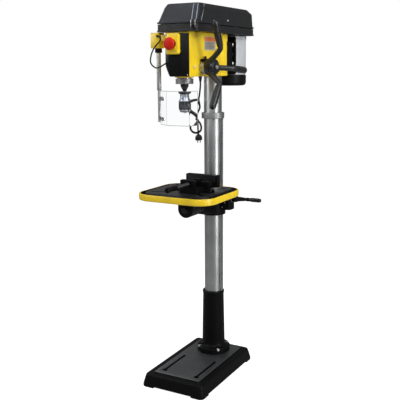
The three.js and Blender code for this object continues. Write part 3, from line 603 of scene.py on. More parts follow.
def settle(obj, body, slot, stands_for=(), sharp=34, paint=None):
    """Turns a shape drawn in millimetres into a finished piece in the row frame."""
    mesh = obj.data
    mesh.transform(Matrix.Translation(AXIS) @ Matrix.Scale(MM, 4))
    mesh.polygons.foreach_set("use_smooth", [True] * len(mesh.polygons))
    if sharp:
        mesh.set_sharp_from_angle(angle=math.radians(sharp))
    mesh.materials.clear()
    mesh.materials.append(MAT[paint or slot])
    mesh.update()
    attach(obj, body)
    if stands_for:
        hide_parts(*stands_for)
    return obj


def piece(name, shape, body, slot, stands_for=(), bevel=0, cuts=(), sharp=34, paint=None):
    obj = built(name, [shape], cuts)
    if bevel:
        bevelled(obj, bevel)
    return settle(obj, body, slot, stands_for, sharp, paint)


def screws(name, screw, places, body="stand", bevel=0, paint=None):
    """Copies of a screw or bolt head, as one piece."""
    piece(name, copies(screw, places), body, "shaft_steel", bevel=bevel, paint=paint)


def casting(name, shapes, cuts, body, slot, voxel, passes, stands_for):
    """A piece blended into one skin, from cells of voxel mm, with the soft edges of a casting."""
    obj = built(name, shapes, cuts)
    modified(obj, "REMESH", mode="VOXEL", voxel_size=voxel, use_smooth_shade=True)
    modified(obj, "SMOOTH", factor=0.5, iterations=passes)
    return settle(obj, body, slot, stands_for, sharp=0)


def second_paint(obj, paint, chooses):
    """Gives the faces that chooses(centre in mm, normal) picks another material."""
    obj.data.materials.append(MAT[paint])
    index = len(obj.data.materials) - 1
    for face in obj.data.polygons:
        centre = (Vector(face.center) - AXIS) / MM
        if chooses(centre, face.normal):
            face.material_index = index


# ---------------- mains cord
# The hank lies along the line from its top to its foot. Each of its folds has its own radius,
# its tie draws it in to the waist, and each turn lies one layer further out.
CORD_D = 7.5
CORD_EXIT = (-47, -30, 1321.6)
CORD_LEAD = [CORD_EXIT, (-47, -30, 1308), (-49, -28.5, 1294), (-54, -23.5, 1277),
             (-60.5, -16.5, 1259), (-67, -9.5, 1245)]
HANK_TOP = Vector((-86, -22, 1238))
HANK_FOOT = Vector((-78, -14, 1090))
HANK_FACING = Vector((0.466, -0.885, 0))
HANK_FOLD_ROOM = 23.0
HANK_FOLDS = (24.6, 25.8, 25.0, 24.6)
HANK_WAIST = 7.0
HANK_LAYER = 7.7
PLUG_SIDE = 9.0

hank_up = (HANK_TOP - HANK_FOOT).normalized()
hank_middle = (HANK_TOP + HANK_FOOT) / 2
hank_out = (HANK_FACING - hank_up * HANK_FACING.dot(hank_up)).normalized()
hank_side = hank_up.cross(hank_out)
hank_half = (HANK_TOP - HANK_FOOT).length / 2
hank_run = hank_half - HANK_FOLD_ROOM - CORD_D / 2 - 0.2


def in_hank(side, up, out):
    return hank_middle + hank_side * side + hank_up * up + hank_out * out


def hank_reach(up, fold):
    """Distance of the cord's line from the middle of the hank, drawn in at its waist."""
    t = min(1, abs(up) / hank_run)
    return HANK_WAIST + (fold - HANK_WAIST) * t * t * (3 - 2 * t)


def hank_straight(side, fold, start, end, out, count=7):
    """A run along the hank, pinched where the tie holds it, that stops short of its next fold."""
    heights = [hank_run * (start + (end - start) * k / 7) for k in range(count)]
    return [in_hank(side * hank_reach(up, fold), up, out) for up in heights]


def hank_turn(side, fold, end, out):
    """Half a turn at one end of the hank, on its way to the next layer."""
    points = []
    for k in range(1, 6):
        a = math.pi * k / 6
        up = end * (hank_run + fold * math.sin(a))
        points.append(in_hank(side * fold * math.cos(a), up, out + HANK_LAYER / 2 * k / 6))
    return points


def hank_points():
    """Four runs down one side and three up the other, joined by folds of uneven size."""
    out = []
    for turn, fold in enumerate(HANK_FOLDS[:-1]):
        down = (turn - 1.5) * HANK_LAYER
        rise = down + HANK_LAYER / 2
        out += hank_straight(1, fold, 1, -1, down)
        out += hank_turn(1, fold, -1, down)
        out += hank_straight(-1, fold, -1, 1, rise)
        out += hank_turn(-1, (fold + HANK_FOLDS[turn + 1]) / 2, 1, rise)
    front = 1.5 * HANK_LAYER
    out += hank_straight(1, HANK_FOLDS[-1], 1, -1, front, 5)
    out.append(in_hank(PLUG_SIDE + 1, -hank_run * 0.7, front))
    out.append(in_hank(PLUG_SIDE, -hank_run - 8, front))
    out.append(in_hank(PLUG_SIDE, -hank_half - 1, front))
    return out


def curve_piece(name, points, diameter, body, slot):
    data = bpy.data.curves.new(name, "CURVE")
    data.dimensions = "3D"
    data.bevel_depth = diameter / 2 * MM
    data.bevel_resolution = 5
    data.resolution_u = 8
    data.use_fill_caps = True
    line = data.splines.new("BEZIER")
    line.bezier_points.add(len(points) - 1)
    for knot, p in zip(line.bezier_points, points):
        knot.co = at(*p)
        knot.handle_left_type = knot.handle_right_type = "AUTO"
    obj = bpy.data.objects.new(name, data)
    SCENE.collection.objects.link(obj)
    data.materials.append(MAT[slot])
    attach(obj, body)
    return obj


def make_hank_tie():
    half_w, half_t = HANK_WAIST + CORD_D / 2 + 1.4, 1.5 * HANK_LAYER + CORD_D / 2 + 1.4
    rows = []
    for side, out in rrect((-half_w, half_w), (-half_t, half_t), 6, steps=5):
        p = in_hank(side, 0, out)
        outward = (p - hank_middle).normalized()
        rows.append([tuple(p + outward * dx + hank_up * dz)
                     for dx, dz in ((-0.7, -3), (0.7, -3), (0.7, 3), (-0.7, 3))])
    return piece("hank_tie", rings(rows, capped=False), "stand", "cord_rubber", bevel=0.3)


def make_plug():
    top, foot = (in_hank(PLUG_SIDE, -hank_half - down, 1.5 * HANK_LAYER) for down in (1.5, 41))
    body = turning([(0, 0), (4.8, 0, 0.6), (5.6, 3, 1), (12, 7, 3), (16, 15, 3), (16, 27, 1),
                    (14, 29, 1), (0, 29)])
    grooves = [aimed(block((-9, 9), (13.2, 18), (z, z + 1.6)), top, foot) for z in (10, 14, 18, 22)]
    pins = copies(rod(2.3, 28, 41, 24, 0.7), [(0, -6), (0, 6)])
    return [piece("plug_body", aimed(body, top, foot), "stand", "cord_rubber", ["mains_plug"], 0.3, grooves),
            piece("plug_pins", aimed(pins, top, foot), "stand", "shaft_steel")]


def make_strain_relief():
    x, y, z = CORD_EXIT
    sleeve = turning([(0, 1321.8), (4.4, 1321.8, 0.5), (8, 1343, 2), (8.5, 1347.6), (0, 1347.6)], 3, 40)
    grooves = []
    for k in range(4):
        r, low = 5.4 + k * 0.75, 1326 + k * 4.5
        grooves.append(moved(lathe([(r, low), (12, low), (12, low + 1.5), (r, low + 1.5)], 40), x, y))
    piece("strain_relief", moved(sleeve, x, y), "stand", "cord_rubber", ["cord_gland"], 0, grooves)


def make_cord():
    points = CORD_LEAD + hank_points()
    lead = curve_piece("mains_lead", points, CORD_D, "stand", "cord_rubber")
    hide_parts("mains_cord", "cord_hank")
    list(make_plug())
    make_hank_tie()


make_cord()
make_strain_relief()

# ---------------- base and column
BASE_TOP = 60.0
SLOT_X = 80
# height, growth past the base's outline and corner radius, from the hollow underside up
BASE_WALLS = ((44, -25, 8), (38, -24, 10), (6, -14, 14), (6, -1.5, 20), (7.5, 0, 20), (15, -0.4, 20),
              (18, -1.6, 19.5), (34, -5.6, 18), (51, -10.4, 16), (54.5, -11.8, 15.5), (56.4, -14, 14),
              (57, -17, 12))
PANEL_X, PANEL_Y = (-113, 113), (-352, 72)
PANEL_RISE = ((57, 3.2), (55.6, 2.4), (55.6, 0.8), (BASE_TOP - 1, 0), (BASE_TOP, -1))
FOOT_SIDE = 59
SUPPORT_SEAT_R = 68
SUPPORT_TOP = 357
COLUMN_R = 40.0
COLUMN_LOW, COLUMN_HIGH = BASE_TOP + 0.3, 1490
SLEEVE_R = COLUMN_R + 0.3
RACK_LOW, RACK_HIGH = 357.4, 1160.6
RACK_ROOT, RACK_TIP = 44.1, 46.4
COLLAR_LOW, COLLAR_HIGH = 1161, 1187
COLLAR_SCREW_Z = 1174


def base_row(z, grow, r):
    return rrect_row(z, BASE_X, BASE_Y, r, grow=grow)


def base_foot(x, y):
    """A raised corner of the base's rim, in the square that begins at x and y."""
    ring = built("foot", [rings([base_row(0, -1, 20), base_row(1, 0, 20), base_row(8, 0, 20)])],
                 [rings([rrect_row(z, BASE_X, BASE_Y, 12, grow=-16) for z in (-2, 12)])])
    boolean(ring, block((x, x + FOOT_SIDE), (y, y + FOOT_SIDE), (-1, 12)), "INTERSECT")
    return shape_of(ring)


def make_base():
    skin = [base_row(*wall) for wall in BASE_WALLS]
    skin += [rrect_row(z, PANEL_X, PANEL_Y, 6, grow=grow) for z, grow in PANEL_RISE]
    obj = built("base", [rings(skin), rod(78, 30, 50, 64), block((-132, 132), (-116, -104), (16, 50))])
    for x in (-SLOT_X, SLOT_X):
        outline = fillet([(x - 5.5, -133, 5.4), (x - 5.5, -306), (x - 11, -308, 3), (x - 11, -325, 10),
                          (x + 11, -325, 10), (x + 11, -308, 3), (x + 5.5, -306), (x + 5.5, -133, 5.4)], 6)
        boolean(obj, prism(outline, 30, 70))
    for x in (BASE_X[0] - 1, BASE_X[1] + 1 - FOOT_SIDE):
        for y in (BASE_Y[0] - 1, BASE_Y[1] + 1 - FOOT_SIDE):
            boolean(obj, base_foot(x, y), "UNION")
    settle(obj, "stand", "black_cast", ["base_casting"], 40)
    second_paint(obj, "base_face", lambda c, n: c.z > BASE_TOP - 0.1 and n.z > 0.9)


def on_sleeve(shape):
    """Lays a shape flat at the support's set screw, pointing out of the sleeve."""
    return moved(spun(spun(shape, 90, "Y"), 118), 0, 0, 330)


def make_support():
    profile = [(SLEEVE_R, COLUMN_LOW), (77.5, COLUMN_LOW, 1), (77.5, 83, 3), (73, 86.5, 3), (60, 89, 5),
               (54.5, 99, 8), (53, 114, 8), (48.6, 340, 2), (50.6, 346, 1.5), (50.6, 354, 2),
               (48, SUPPORT_TOP, 1), (SLEEVE_R, SUPPORT_TOP)]
    corner = SUPPORT_SEAT_R * math.sqrt(0.5)
    seats = [(corner, corner), (-corner, corner), (-corner, -corner), (corner, -corner)]
    holes = [on_sleeve(rod(4.2, 44, 60, 24))]
    holes += [moved(rod(12.5, 77, 100, 40), x, y) for x, y in seats]
    piece("support", turning(profile, 5, 128), "stand", "black_cast", ["column_support"], 0, holes)
    screw = on_sleeve(moved(socket_screw(3.9, 5), 0, 0, 44))
    piece("support_set_screw", screw, "stand", "shaft_steel")
    bolt = hex_bolt(8.5, 7, 1.8, 12)
    heads = [moved(spun(bolt, 20 + 50 * k), *seat, 77.05) for k, seat in enumerate(seats)]
    piece("support_bolts", together(*heads), "stand", "shaft_steel", bevel=0.4, paint="zinc")


def make_column():
    wall = 4
    tube = turning([(COLUMN_R - wall, COLUMN_LOW), (COLUMN_R, COLUMN_LOW), (COLUMN_R, COLUMN_HIGH, 1),
                    (COLUMN_R - wall, COLUMN_HIGH)], 3, 128)
    piece("column", tube, "stand", "column_steel", ["column_tube"])
    profile = [(SLEEVE_R, COLLAR_LOW), (50.6, COLLAR_LOW, 1.6), (51, COLLAR_LOW + 1, 0.5),
               (51, COLLAR_HIGH, 2), (SLEEVE_R, COLLAR_HIGH)]
    hole = along_front(rod(4.4, 44, 60, 24), 0, 0, COLLAR_SCREW_Z)
    piece("collar", turning(profile, 4, 128), "stand", "collar_steel", ["rack_collar"], 0, [hole])
    screws("collar_screw", along_front(socket_screw(4.1, 4)), [(0, -45.5, COLLAR_SCREW_Z)])


def make_rack():
    back = COLUMN_R + 0.4
    pitch = 2 * math.pi
    count = int((RACK_HIGH - RACK_LOW - 6) / pitch)
    start = (RACK_HIGH + RACK_LOW - count * pitch) / 2
    outline = [(back, RACK_LOW), (RACK_TIP, RACK_LOW)]
    for k in range(count):
        for x, up in ((RACK_TIP, 0.6), (RACK_ROOT, 1.7), (RACK_ROOT, 3.0), (RACK_TIP, 4.1)):
            outline.append((x, start + k * pitch + up))
    outline += [(RACK_TIP, RACK_HIGH), (back, RACK_HIGH)]
    piece("rack", prism_y(outline, -10.9, 10.9), "rack", "shaft_steel", ["column_rack"], sharp=25)


# ---------------- bracket and crank
BRACKET_LOW, BRACKET_HIGH = 723, 797
CLEAR_LOW, CLEAR_HIGH = 700, 830
GEAR_X, GEAR_Z = 61.5, 777
CRANK_Z = 800
LOCK_Y, LOCK_Z = 70, 760


def make_bracket():
    arm = rings([[(x, y, z) for x, z in rrect((-half, half), (low, high), 7, steps=4)]
                 for y, half, low, high in ((-30, 34, 730, 794), (-58, 30, 734, 794),
                                            (-110, 26, 742, 796), (-152, 26, 748, 797))])
    shapes = [rod(57, BRACKET_LOW, BRACKET_HIGH, 96), arm,
              along_y(rod(36.5, -178, -148, 80), 0, 0, TILT_Z),
              prism(rrect((40, 99), (-27, 27), 12), 750, 815),
              block((-16, 16), (48, 84), (738, 782))]
    cuts = [rod(COLUMN_R + 0.6, CLEAR_LOW, CLEAR_HIGH, 96),
            block((36, RACK_TIP + 0.5), (-11.4, 11.4), (CLEAR_LOW, CLEAR_HIGH)),
            block((-2, 2), (38, 92), (CLEAR_LOW, CLEAR_HIGH)),
            along_x(rod(5.5, -22, 22, 32), 0, LOCK_Y, LOCK_Z)]
    casting("bracket", shapes, cuts, "bracket", "black_cast", 1.5, 4, ["table_bracket"])
    cover = turning([(0, -29.6), (20, -29.6, 1), (20, -26.6), (0, -26.6)], 3, 64)
    piece("gear_cover", along_y(cover, GEAR_X, 0, GEAR_Z), "bracket", "black_cast")
    places = [(GEAR_X + 15 * math.cos(a), -29.6, GEAR_Z + 15 * math.sin(a)) for a in (0.5, 2.6, 4.7)]
    screws("gear_cover_screws", along_front(socket_screw(2.6, 2.2)), places, "bracket")
    boss = turning([(7.6, 97), (16, 97), (16, 99.6, 1.5), (7.6, 99.6)], 3, 64)
    piece("crank_boss", along_x(boss, 0, 0, CRANK_Z), "bracket", "shaft_steel")


def make_crank():
    start, end = Vector((114, 0, CRANK_Z)), Vector((150, GRIP_Y, GRIP_Z))
    path = spline([start, start.lerp(end, 0.35), start.lerp(end, 0.7), end], 18)
    arm = swept(path, [12.5 - 0.35 * k for k in range(19)], 32)
    hub = turning([(0, 100.5), (15, 100.5, 1.5), (15, 122, 3), (0, 122)])
    tip = turning([(0, 141), (8.6, 141, 2), (8.6, 156, 1), (0, 156)], 4, 40)
    shaft = rod(7, 52, 104, 40)
    shapes = [along_x(hub, 0, 0, CRANK_Z), arm, along_x(tip, 0, GRIP_Y, GRIP_Z),
              along_x(shaft, 0, 0, CRANK_Z)]
    casting("crank_handle", shapes, [], "crank", "black_cast", 0.9, 3, ["crank"])
    screws("crank_screws", socket_screw(3, 2.5), [(110, 0, CRANK_Z + 14.2)], "crank")


def make_crank_knob():
    start = span("crank_grip")[0][0]
    grip = fillet([(3.9, start), (7.6, start, 1.2), (8.2, start + 3, 1), (9.6, start + 13, 6),
                   (9.6, start + 45, 8), (7.6, start + 57, 2.5), (0, start + 57)], 5)
    grip += [(0, start + 48), (3.9, start + 48), (3.9, start)]
    shape = along_x(lathe(grip, 48), 0, GRIP_Y, GRIP_Z)
    piece("crank_knob", shape, "crank_grip", "grip_plastic", ["crank_grip"])


def make_column_lock():
    lever = swept(spline([(-30, 70, 760), (-34, 90, 746), (-40, 106, 735), (-46, 121, 725)], 16), 5, 24)
    nut = lathe([(0, 16.3), (8.5, 16.3), (8.5, 23.6), (7.6, 24.3), (0, 24.3)], 6)
    bolt = along_x(together(rod(5, -34, 26, 32, 0.8), nut, rod(11, -38, -16.3, 48, 1.5)), 0, LOCK_Y, LOCK_Z)
    piece("lock_lever", together(lever, bolt), "column_lock", "shaft_steel", ["column_lock"])
    angles = [math.pi * k / 16 for k in range(17)]
    ball = lathe([(10 * math.sin(a), -10 * math.cos(a)) for a in angles], 32)
    piece("lock_ball", moved(ball, -49, 128, 721), "column_lock", "grip_plastic")


# ---------------- table
TABLE_HALF_X, TABLE_HALF_Y = 182, 173
TABLE_CORNER = 80
# height, growth and corner radius, from the underside over the rim and the trough to the face
TABLE_SECTIONS = ((846, -60, 30), (846, -18, 62), (844, -15.5, 64.5), (836, -14, 66), (835.2, -12.5, 67.5),
                  (835, -5, 75), (836.2, -2, 78), (839, -0.4, 79.6), (842, 0, 80), (860, 0, 80),
                  (862.2, -0.9, 79.1), (863, -3, 77), (863, -6.5, 73.5), (862, -8.6, 71.4),
                  (854.5, -10.4, 69.6), (853, -12.5, 67.5), (853, -24, 57), (854.5, -27, 54.5),
                  (864.5, -29.6, 52.4), (866, -31, 51))
RIM_TOP, FACE_TOP = 863, 866
RIM_WIDTH = 7
HANGER_R = 36.5


def on_rim(c):
    """Outside the trough, along a side or round a corner."""
    dx = abs(c.x) - (TABLE_HALF_X - TABLE_CORNER)
    dy = abs(c.y - TABLE_Y) - (TABLE_HALF_Y - TABLE_CORNER)
    corner = dx > 0 and dy > 0 and math.hypot(dx, dy) > TABLE_CORNER - RIM_WIDTH - 0.6
    side = dx > TABLE_CORNER - RIM_WIDTH or dy > TABLE_CORNER - RIM_WIDTH - 0.5
    return c.z <= RIM_TOP + 0.01 and (side or corner)


def in_trough(c, n):
    return c.z < FACE_TOP - 0.1 and not (n.z > 0.95 and c.z > FACE_TOP - 1) and not on_rim(c)


def make_table():
    x, y = (-TABLE_HALF_X, TABLE_HALF_X), (TABLE_Y - TABLE_HALF_Y, TABLE_Y + TABLE_HALF_Y)
    skin = rings([rrect_row(z, x, y, r, grow=grow, steps=14) for z, grow, r in TABLE_SECTIONS])
    half_turn = [math.pi * (1 + k / 24) for k in range(25)]
    arch = [(-HANGER_R, 850)] + [(HANGER_R * math.cos(a), TILT_Z + HANGER_R * math.sin(a)) for a in half_turn]
    shapes = [skin, prism_y(arch + [(HANGER_R, 850)], -256, -180)]
    shapes += [block((x - 4, x + 4), (TABLE_Y - 158, TABLE_Y + 158), (838, 848)) for x in (-90, 90)]
    shapes.append(block((-166, 166), (TABLE_Y - 4, TABLE_Y + 4), (838, 848)))
    cuts = [along_y(rod(9.5, -260, -176, 48), 0, 0, TILT_Z), moved(rod(11, 847, 880, 48), 0, TABLE_Y)]
    slot = prism(rrect((64, 166), (-6, 6), 5.5, steps=4), 847, 880)
    cuts += [moved(spun(slot, angle), 0, TABLE_Y) for angle in (40, 140, 220, 320)]
    obj = built("table", shapes, cuts)
    settle(obj, "table", "machined_iron", ["work_table"], 36)
    second_paint(obj, "yellow_cast", lambda c, n: on_rim(c))
    second_paint(obj, "trough_black", in_trough)


def make_tilt_bolt():
    shaft = along_y(rod(9, -258, -142, 48), 0, 0, TILT_Z)
    washer = turning([(0, 256.3), (17, 256.3, 0.5), (17, 260, 0.8), (0, 260)], 2)
    head = along_front(together(washer, moved(hex_bolt(14, 11), 0, 0, 260)), 0, 0, TILT_Z)
    piece("tilt_clamp_bolt", together(shaft, head), "bracket", "shaft_steel", ["tilt_bolt"], 0.3,
          paint="blackened")


# ---------------- vise
VISE_FOOT_Z = 866.3
EAR_TOP = 877
JAW_FACE_Y = -178


def vise_x(low, high):
    """A stretch of x about the vise's middle."""
    return (VISE_X + low, VISE_X + high)


def make_vise():
    x0, x1 = vise_x(-30, 30)
    front = fillet([(x0, 878), (x1, 878), (x1, 922, 14), (x0, 922, 14)], 8)
    shapes = [prism(rrect(vise_x(-44, 44), (-296, -150), 8, steps=5), VISE_FOOT_Z, 880),
              prism(rrect(vise_x(-84, 84), (-250, -206), 12, steps=6), VISE_FOOT_Z, EAR_TOP),
              block(vise_x(-40, 40), (-294, -152), (878, 890)),
              block(vise_x(-76, 76), (JAW_FACE_Y, -150), (878, 930)), prism_y(front, -296, -272)]
    cuts = [block(vise_x(-15, 15), (-271.5, JAW_FACE_Y - 0.3), (876, 896)),
            along_y(rod(8.5, -300, -268, 40), VISE_X, 0, SCREW_Z)]
    ear_slots = [vise_x(-110, -66), vise_x(66, 110)]
    cuts += [prism(rrect(x, (-234, -222), 5.9, steps=6), 860, 890) for x in ear_slots]
    obj = built("vise", shapes, cuts)
    bevelled(obj, 1.6)
    settle(obj, "table", "black_cast", ["vise_body"], 30)
    plate = block(vise_x(-68, 68), (JAW_FACE_Y - 0.95, JAW_FACE_Y - 0.05), (900, 928))
    groove = block(vise_x(-70, 70), (JAW_FACE_Y - 1.4, JAW_FACE_Y - 0.6), (904.5, 905.4))
    grooves = [moved(groove, 0, 0, 3.5 * k) for k in range(6)]
    piece("vise_jaw_plate", plate, "table", "shaft_steel", (), 0.3, grooves, paint="blackened")
    places = [(VISE_X + x, -228, EAR_TOP + 0.1) for x in (-73, 73)]
    screws("vise_bolts", hex_bolt(8, 6, 1.6), places, "table", 0.4, "blackened")


def make_vise_jaw():
    y = span("vise_jaw")[1]
    shapes = [block(vise_x(-70, 70), y, (890.4, 911)), block(vise_x(-24, 24), y, (900, 920)),
              block(vise_x(-14.6, 14.6), y, (880, 894))]
    hole = along_y(rod(8.3, y[0] - 2, y[1] - 8, 40), VISE_X, 0, SCREW_Z)
    obj = built("moving_jaw", shapes, [hole])
    bevelled(obj, 1.6)
    settle(obj, "vise_jaw", "black_cast", ["vise_jaw"], 30)


def make_vise_screw():
    r, pitch = 8.0, 2.5
    thread = [(0, -392)]
    for k in range(67):
        y = -390 + k * pitch
        thread += [(r, y), (r - 1.1, y + pitch / 2)]
    thread += [(r - 0.6, -221.5), (0, -221.3)]
    piece("vise_spindle", along_y(lathe(thread, 40), VISE_X, 0, SCREW_Z), "vise_screw", "shaft_steel",
          ["vise_screw"], sharp=20, paint="blackened")
    grip = turning([(0, 392.3), (8.6, 392.3, 1), (11, 397, 2), (10.4, 425, 20), (10.8, 452, 3),
                    (11.6, 455, 1), (11.6, 462, 2), (9, 466.3, 1.5), (0, 466.3)], 5)
    piece("vise_handle", along_front(grip, VISE_X, 0, SCREW_Z), "vise_screw", "black_cast", ["vise_grip"])


make_base()
make_support()
make_column()
make_rack()
make_bracket()
make_crank()
make_crank_knob()
make_column_lock()
make_table()
make_tilt_bolt()
make_vise()
make_vise_jaw()
make_vise_screw()

# ---------------- head
HEAD_LOW, HEAD_HIGH = 1348, 1527
COLUMN_POCKET_R = 40.4
QUILL_BORE_R = 30.4
BOLT_X, BOLT_ROWS = 56, (1402, 1483)
REAR_BLOCK = ((-66, 66), (10, 63), (1390, 1495))
FLANK_X = 59


def corner_cut(front, back):
    """The slope under the head's far side."""
    return prism_y([(-64, 1412), (-64, 1340), (-30, 1340)], front, back)


def on_rear_block(c, n):
    beside = abs(c.x) > 62.5 or c.y > 40 or math.hypot(c.x, c.y) > 65.6
    return c.y > 9 and abs(c.x) > 46 and 1388 < c.z < 1497 and beside


def make_head():
    outline = [(-56, -306), (56, -306), (FLANK_X, -240), (FLANK_X, -40), (46, 4), (-46, 4),
               (-FLANK_X, -40), (-FLANK_X, -240)]
    boss = turning([(0, 40), (30, 40), (30, 60.3, 2.5), (0, 60.3)], 4, 64)
    shapes = [prism(outline, HEAD_LOW, HEAD_HIGH), rod(65, HEAD_LOW, HEAD_HIGH, 96), block(*REAR_BLOCK),
              moved(rod(39, 1343.5, 1360, 96), 0, SPINDLE_Y), on_feed(boss), on_feed(rod(36, -59.4, -40, 64)),
              moved(rod(13, 1500, 1532), 0, IDLER_Y)]
    cuts = [rod(COLUMN_POCKET_R, 1300, 1492, 128), moved(rod(QUILL_BORE_R, 1300, 1492, 96), 0, SPINDLE_Y),
            moved(rod(12.6, 1480, 1540, 64), 0, SPINDLE_Y),
            block((-70, -58), (-320, -230), (1300, 1411)), on_feed(rod(14.8, 20, 80, 64)),
            corner_cut(-320, 10)]
    for side in (-1, 1):
        cuts.append(along_y(rod(9.3, 8, 70, 40), side * BARS_X, 0, BARS_Z))
        cuts += [along_y(rod(9.5, 61, 80, 40), side * BOLT_X, 0, z) for z in BOLT_ROWS]
    head = casting("head", shapes, cuts, "stand", "yellow_cast", 1.6, 3, ["head_casting"])
    second_paint(head, "black_cast", on_rear_block)
    post = turning([(0, 1498), (9, 1498), (9, 1612, 1), (0, 1612)], 3)
    piece("idler_post", moved(post, 0, IDLER_Y), "stand", "shaft_steel")
    screw = turning([(0, 58.6), (6.4, 58.6), (6.4, 61.2, 0.6), (3, 61.2, 0.4), (2.6, 59.4), (0, 59.4)], 2, 6)
    piece("head_set_screws", copies(along_x(screw), [(0, -17, 1426), (0, -60, 1372)]), "stand",
          "black_plastic")


def make_label():
    plate = prism_x(rrect((-187, -88), (1455, 1511), 3, steps=4), FLANK_X - 0.15, FLANK_X + 0.7)
    band = prism_x(rrect((-184, -91), (1492, 1508), 3, steps=4), FLANK_X + 0.5, FLANK_X + 0.95)
    lines = [block((FLANK_X + 0.5, FLANK_X + 0.9), (-182 + 4 * (k % 2), -96 - 7 * (k % 3)),
                   (1485.5 - 4.6 * k, 1487.3 - 4.6 * k)) for k in range(6)]
    piece("label_plate", plate, "stand", "collar_steel", bevel=0.15, paint="label_grey")
    piece("label_band", band, "stand", "red_plastic", paint="label_orange")
    piece("label_lines", together(*lines), "stand", "black_plastic")


def make_cover():
    """The nose of the head: a bent sheet whose front leans back below."""
    half, rear, shoulder, nose = 54.5, -306.3, -312, -330
    leans = ((1348.5, 15.2), (1360, 11.6), (1376, 6.4), (1390, 1.6), (1396, 0), (1518.4, 0), (1520, 1.2))
    rows = []
    for z, lean in leans:
        side = shoulder + min(lean, 3)
        outline = fillet([(half, rear), (half, side, 3), (28, nose + lean, 5), (-28, nose + lean, 5),
                          (-half, side, 3), (-half, rear)], 5)
        rows.append([(x, y, z) for x, y in outline])
    obj = built("cover", [rings(rows)], [corner_cut(-340, -300)])
    bevelled(obj, 1.2)
    settle(obj, "stand", "black_plastic", ["front_cover"], 32)
    screws("cover_screws", along_front(socket_screw(3, 1.4)), [(49, shoulder + 0.5, z) for z in (1510, 1356)])


def make_stop():
    rows = []
    for y, inset in ((-330.3, 0), (-347, 0), (-349, 0.6), (-350, 2.2)):
        outline = rrect((-29 + inset, 29 - inset), (-41 + inset, 41 - inset), 9 - inset, steps=6)
        rows.append([(STOP_X + x, y, STOP_Z + z) for x, z in outline])
    piece("stop_box", rings(rows), "stand", "yellow_box", ["estop_box"], sharp=40)
    ring = lathe([(20, 344), (20, 351.6), (16, 351.6), (16, 344)], 48)
    piece("stop_ring", along_front(ring, STOP_X, 0, STOP_Z), "stand", "black_plastic", bevel=0.5)
    places = [(STOP_X + x, -349.6, STOP_Z + z) for x in (-21, 21) for z in (-33, 33)]
    screws("stop_box_screws", along_front(socket_screw(2.8, 1.2)), places)
    cap = turning([(0, 345), (12, 345), (12, 361.5, 1), (23, 363, 2), (25, 366, 1.5), (25, 369.5, 2),
                   (22, 375, 4), (13, 378, 6), (0, 379)], 6, 64)
    piece("stop_cap", along_front(cap, STOP_X, 0, STOP_Z), "estop", "red_plastic", ["estop_button"])


# ---------------- chuck guard and its switch
SWITCH_X, SWITCH_Y = (-143, -98), (-285, -245)
SWITCH_LEAD_D = 6
SWITCH_LEAD = [(-107, -285.6, 1513), (-106.5, -292, 1513), (-98, -299, 1513), (-88, -302, 1509),
               (-82, -303, 1500), (-88, -305, 1488), (-103, -306, 1474), (-118, -308, 1453),
               (-127, -310, 1424), (-124, -314, 1404), (-107, -318, 1389), (-91, -322, 1384),
               (-72, -325, 1388), (-56, -325, 1396), (-50, -321.6, 1400), (-47.3, -317.6, 1401)]
SHIELD = [(-106, -271), (-50, -310), (50, -310), (60, -250)]
SHIELD_Z = (1148, 1290)
SHIELD_BEND_R = 14
SHIELD_HALF = 1.5
LUG_ROWS = (1172, 1256)
LUG_START = (-117, -263.6)


def make_switch_box():
    outline = rrect(SWITCH_X, SWITCH_Y, 3, steps=4)
    box = together(prism(outline, 1464, 1524.5), prism(outline, 1525, 1526.8))
    piece("switch_box", box, "stand", "yellow_box", ["guard_switch_box"], 0.8)
    piece("switch_arm", block((-99, -59.5), (-280, -256), (1494, 1518)), "stand", "yellow_box", bevel=1.0)
    collar = turning([(9.6, 1446), (15, 1446, 1.5), (15, 1464.5), (9.6, 1464.5)], 4, 64)
    piece("switch_collar", moved(collar, GUARD_X, GUARD_Y), "stand", "black_plastic")
    lid_screws = copies(socket_screw(2.4, 1.3), [(x, y, 1526.6) for x in (-138, -103) for y in (-280, -250)])
    front_screws = copies(along_front(socket_screw(2.2, 1.0)), [(x, -284.8, 1471) for x in (-137, -104)])
    piece("switch_screws", together(lid_screws, front_screws), "stand", "shaft_steel")


def make_switch_lead():
    lead = curve_piece("switch_cable", SWITCH_LEAD, SWITCH_LEAD_D, "stand", "cord_rubber")
    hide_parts("guard_cable")
    glands = [along_front(rod(5.6, 285.2, 290, 6, 0.6), -107, 0, 1513),
              aimed(rod(5.2, 0, 6, 6, 0.6), (-45.6, -315, 1401.4), (-50, -321.6, 1400))]
    piece("switch_glands", together(*glands), "stand", "black_plastic")


def make_guard_post():
    tube = turning([(6.9, 1291), (9.3, 1291, 0.8), (9.3, 1478, 0.8), (6.9, 1478)], 3)
    piece("guard_post", moved(tube, GUARD_X, GUARD_Y), "guard_tube", "cast_alloy", ["guard_tube"])
    shaft = turning([(0, 1158), (6.5, 1158, 1), (6.5, 1400, 1), (0, 1400)], 3)
    heading = math.atan2(SHIELD[1][1] - SHIELD[0][1], SHIELD[1][0] - SHIELD[0][0])
    lug = moved(spun(block((0, 42), (3.4, 9), (-8, 8)), math.degrees(heading)), *LUG_START)
    lugs = [moved(lug, 0, 0, z) for z in LUG_ROWS]
    obj = built("guard_rod", [moved(shaft, GUARD_X, GUARD_Y), *lugs])
    settle(obj, "guard", "cast_alloy", ["guard_rod"])
    along = Vector((math.cos(heading), math.sin(heading), 0))
    outward = Vector((along.y, -along.x, 0))
    bolts = []
    for z in LUG_ROWS:
        foot = Vector((*LUG_START, z)) + along * 33
        bolts.append(aimed(hex_bolt(6, 5, 1.2, 3), foot + outward * 1.2, foot + outward * 10))
    piece("guard_bolts", together(*bolts), "guard", "black_plastic", bevel=0.3, paint="collar_steel")


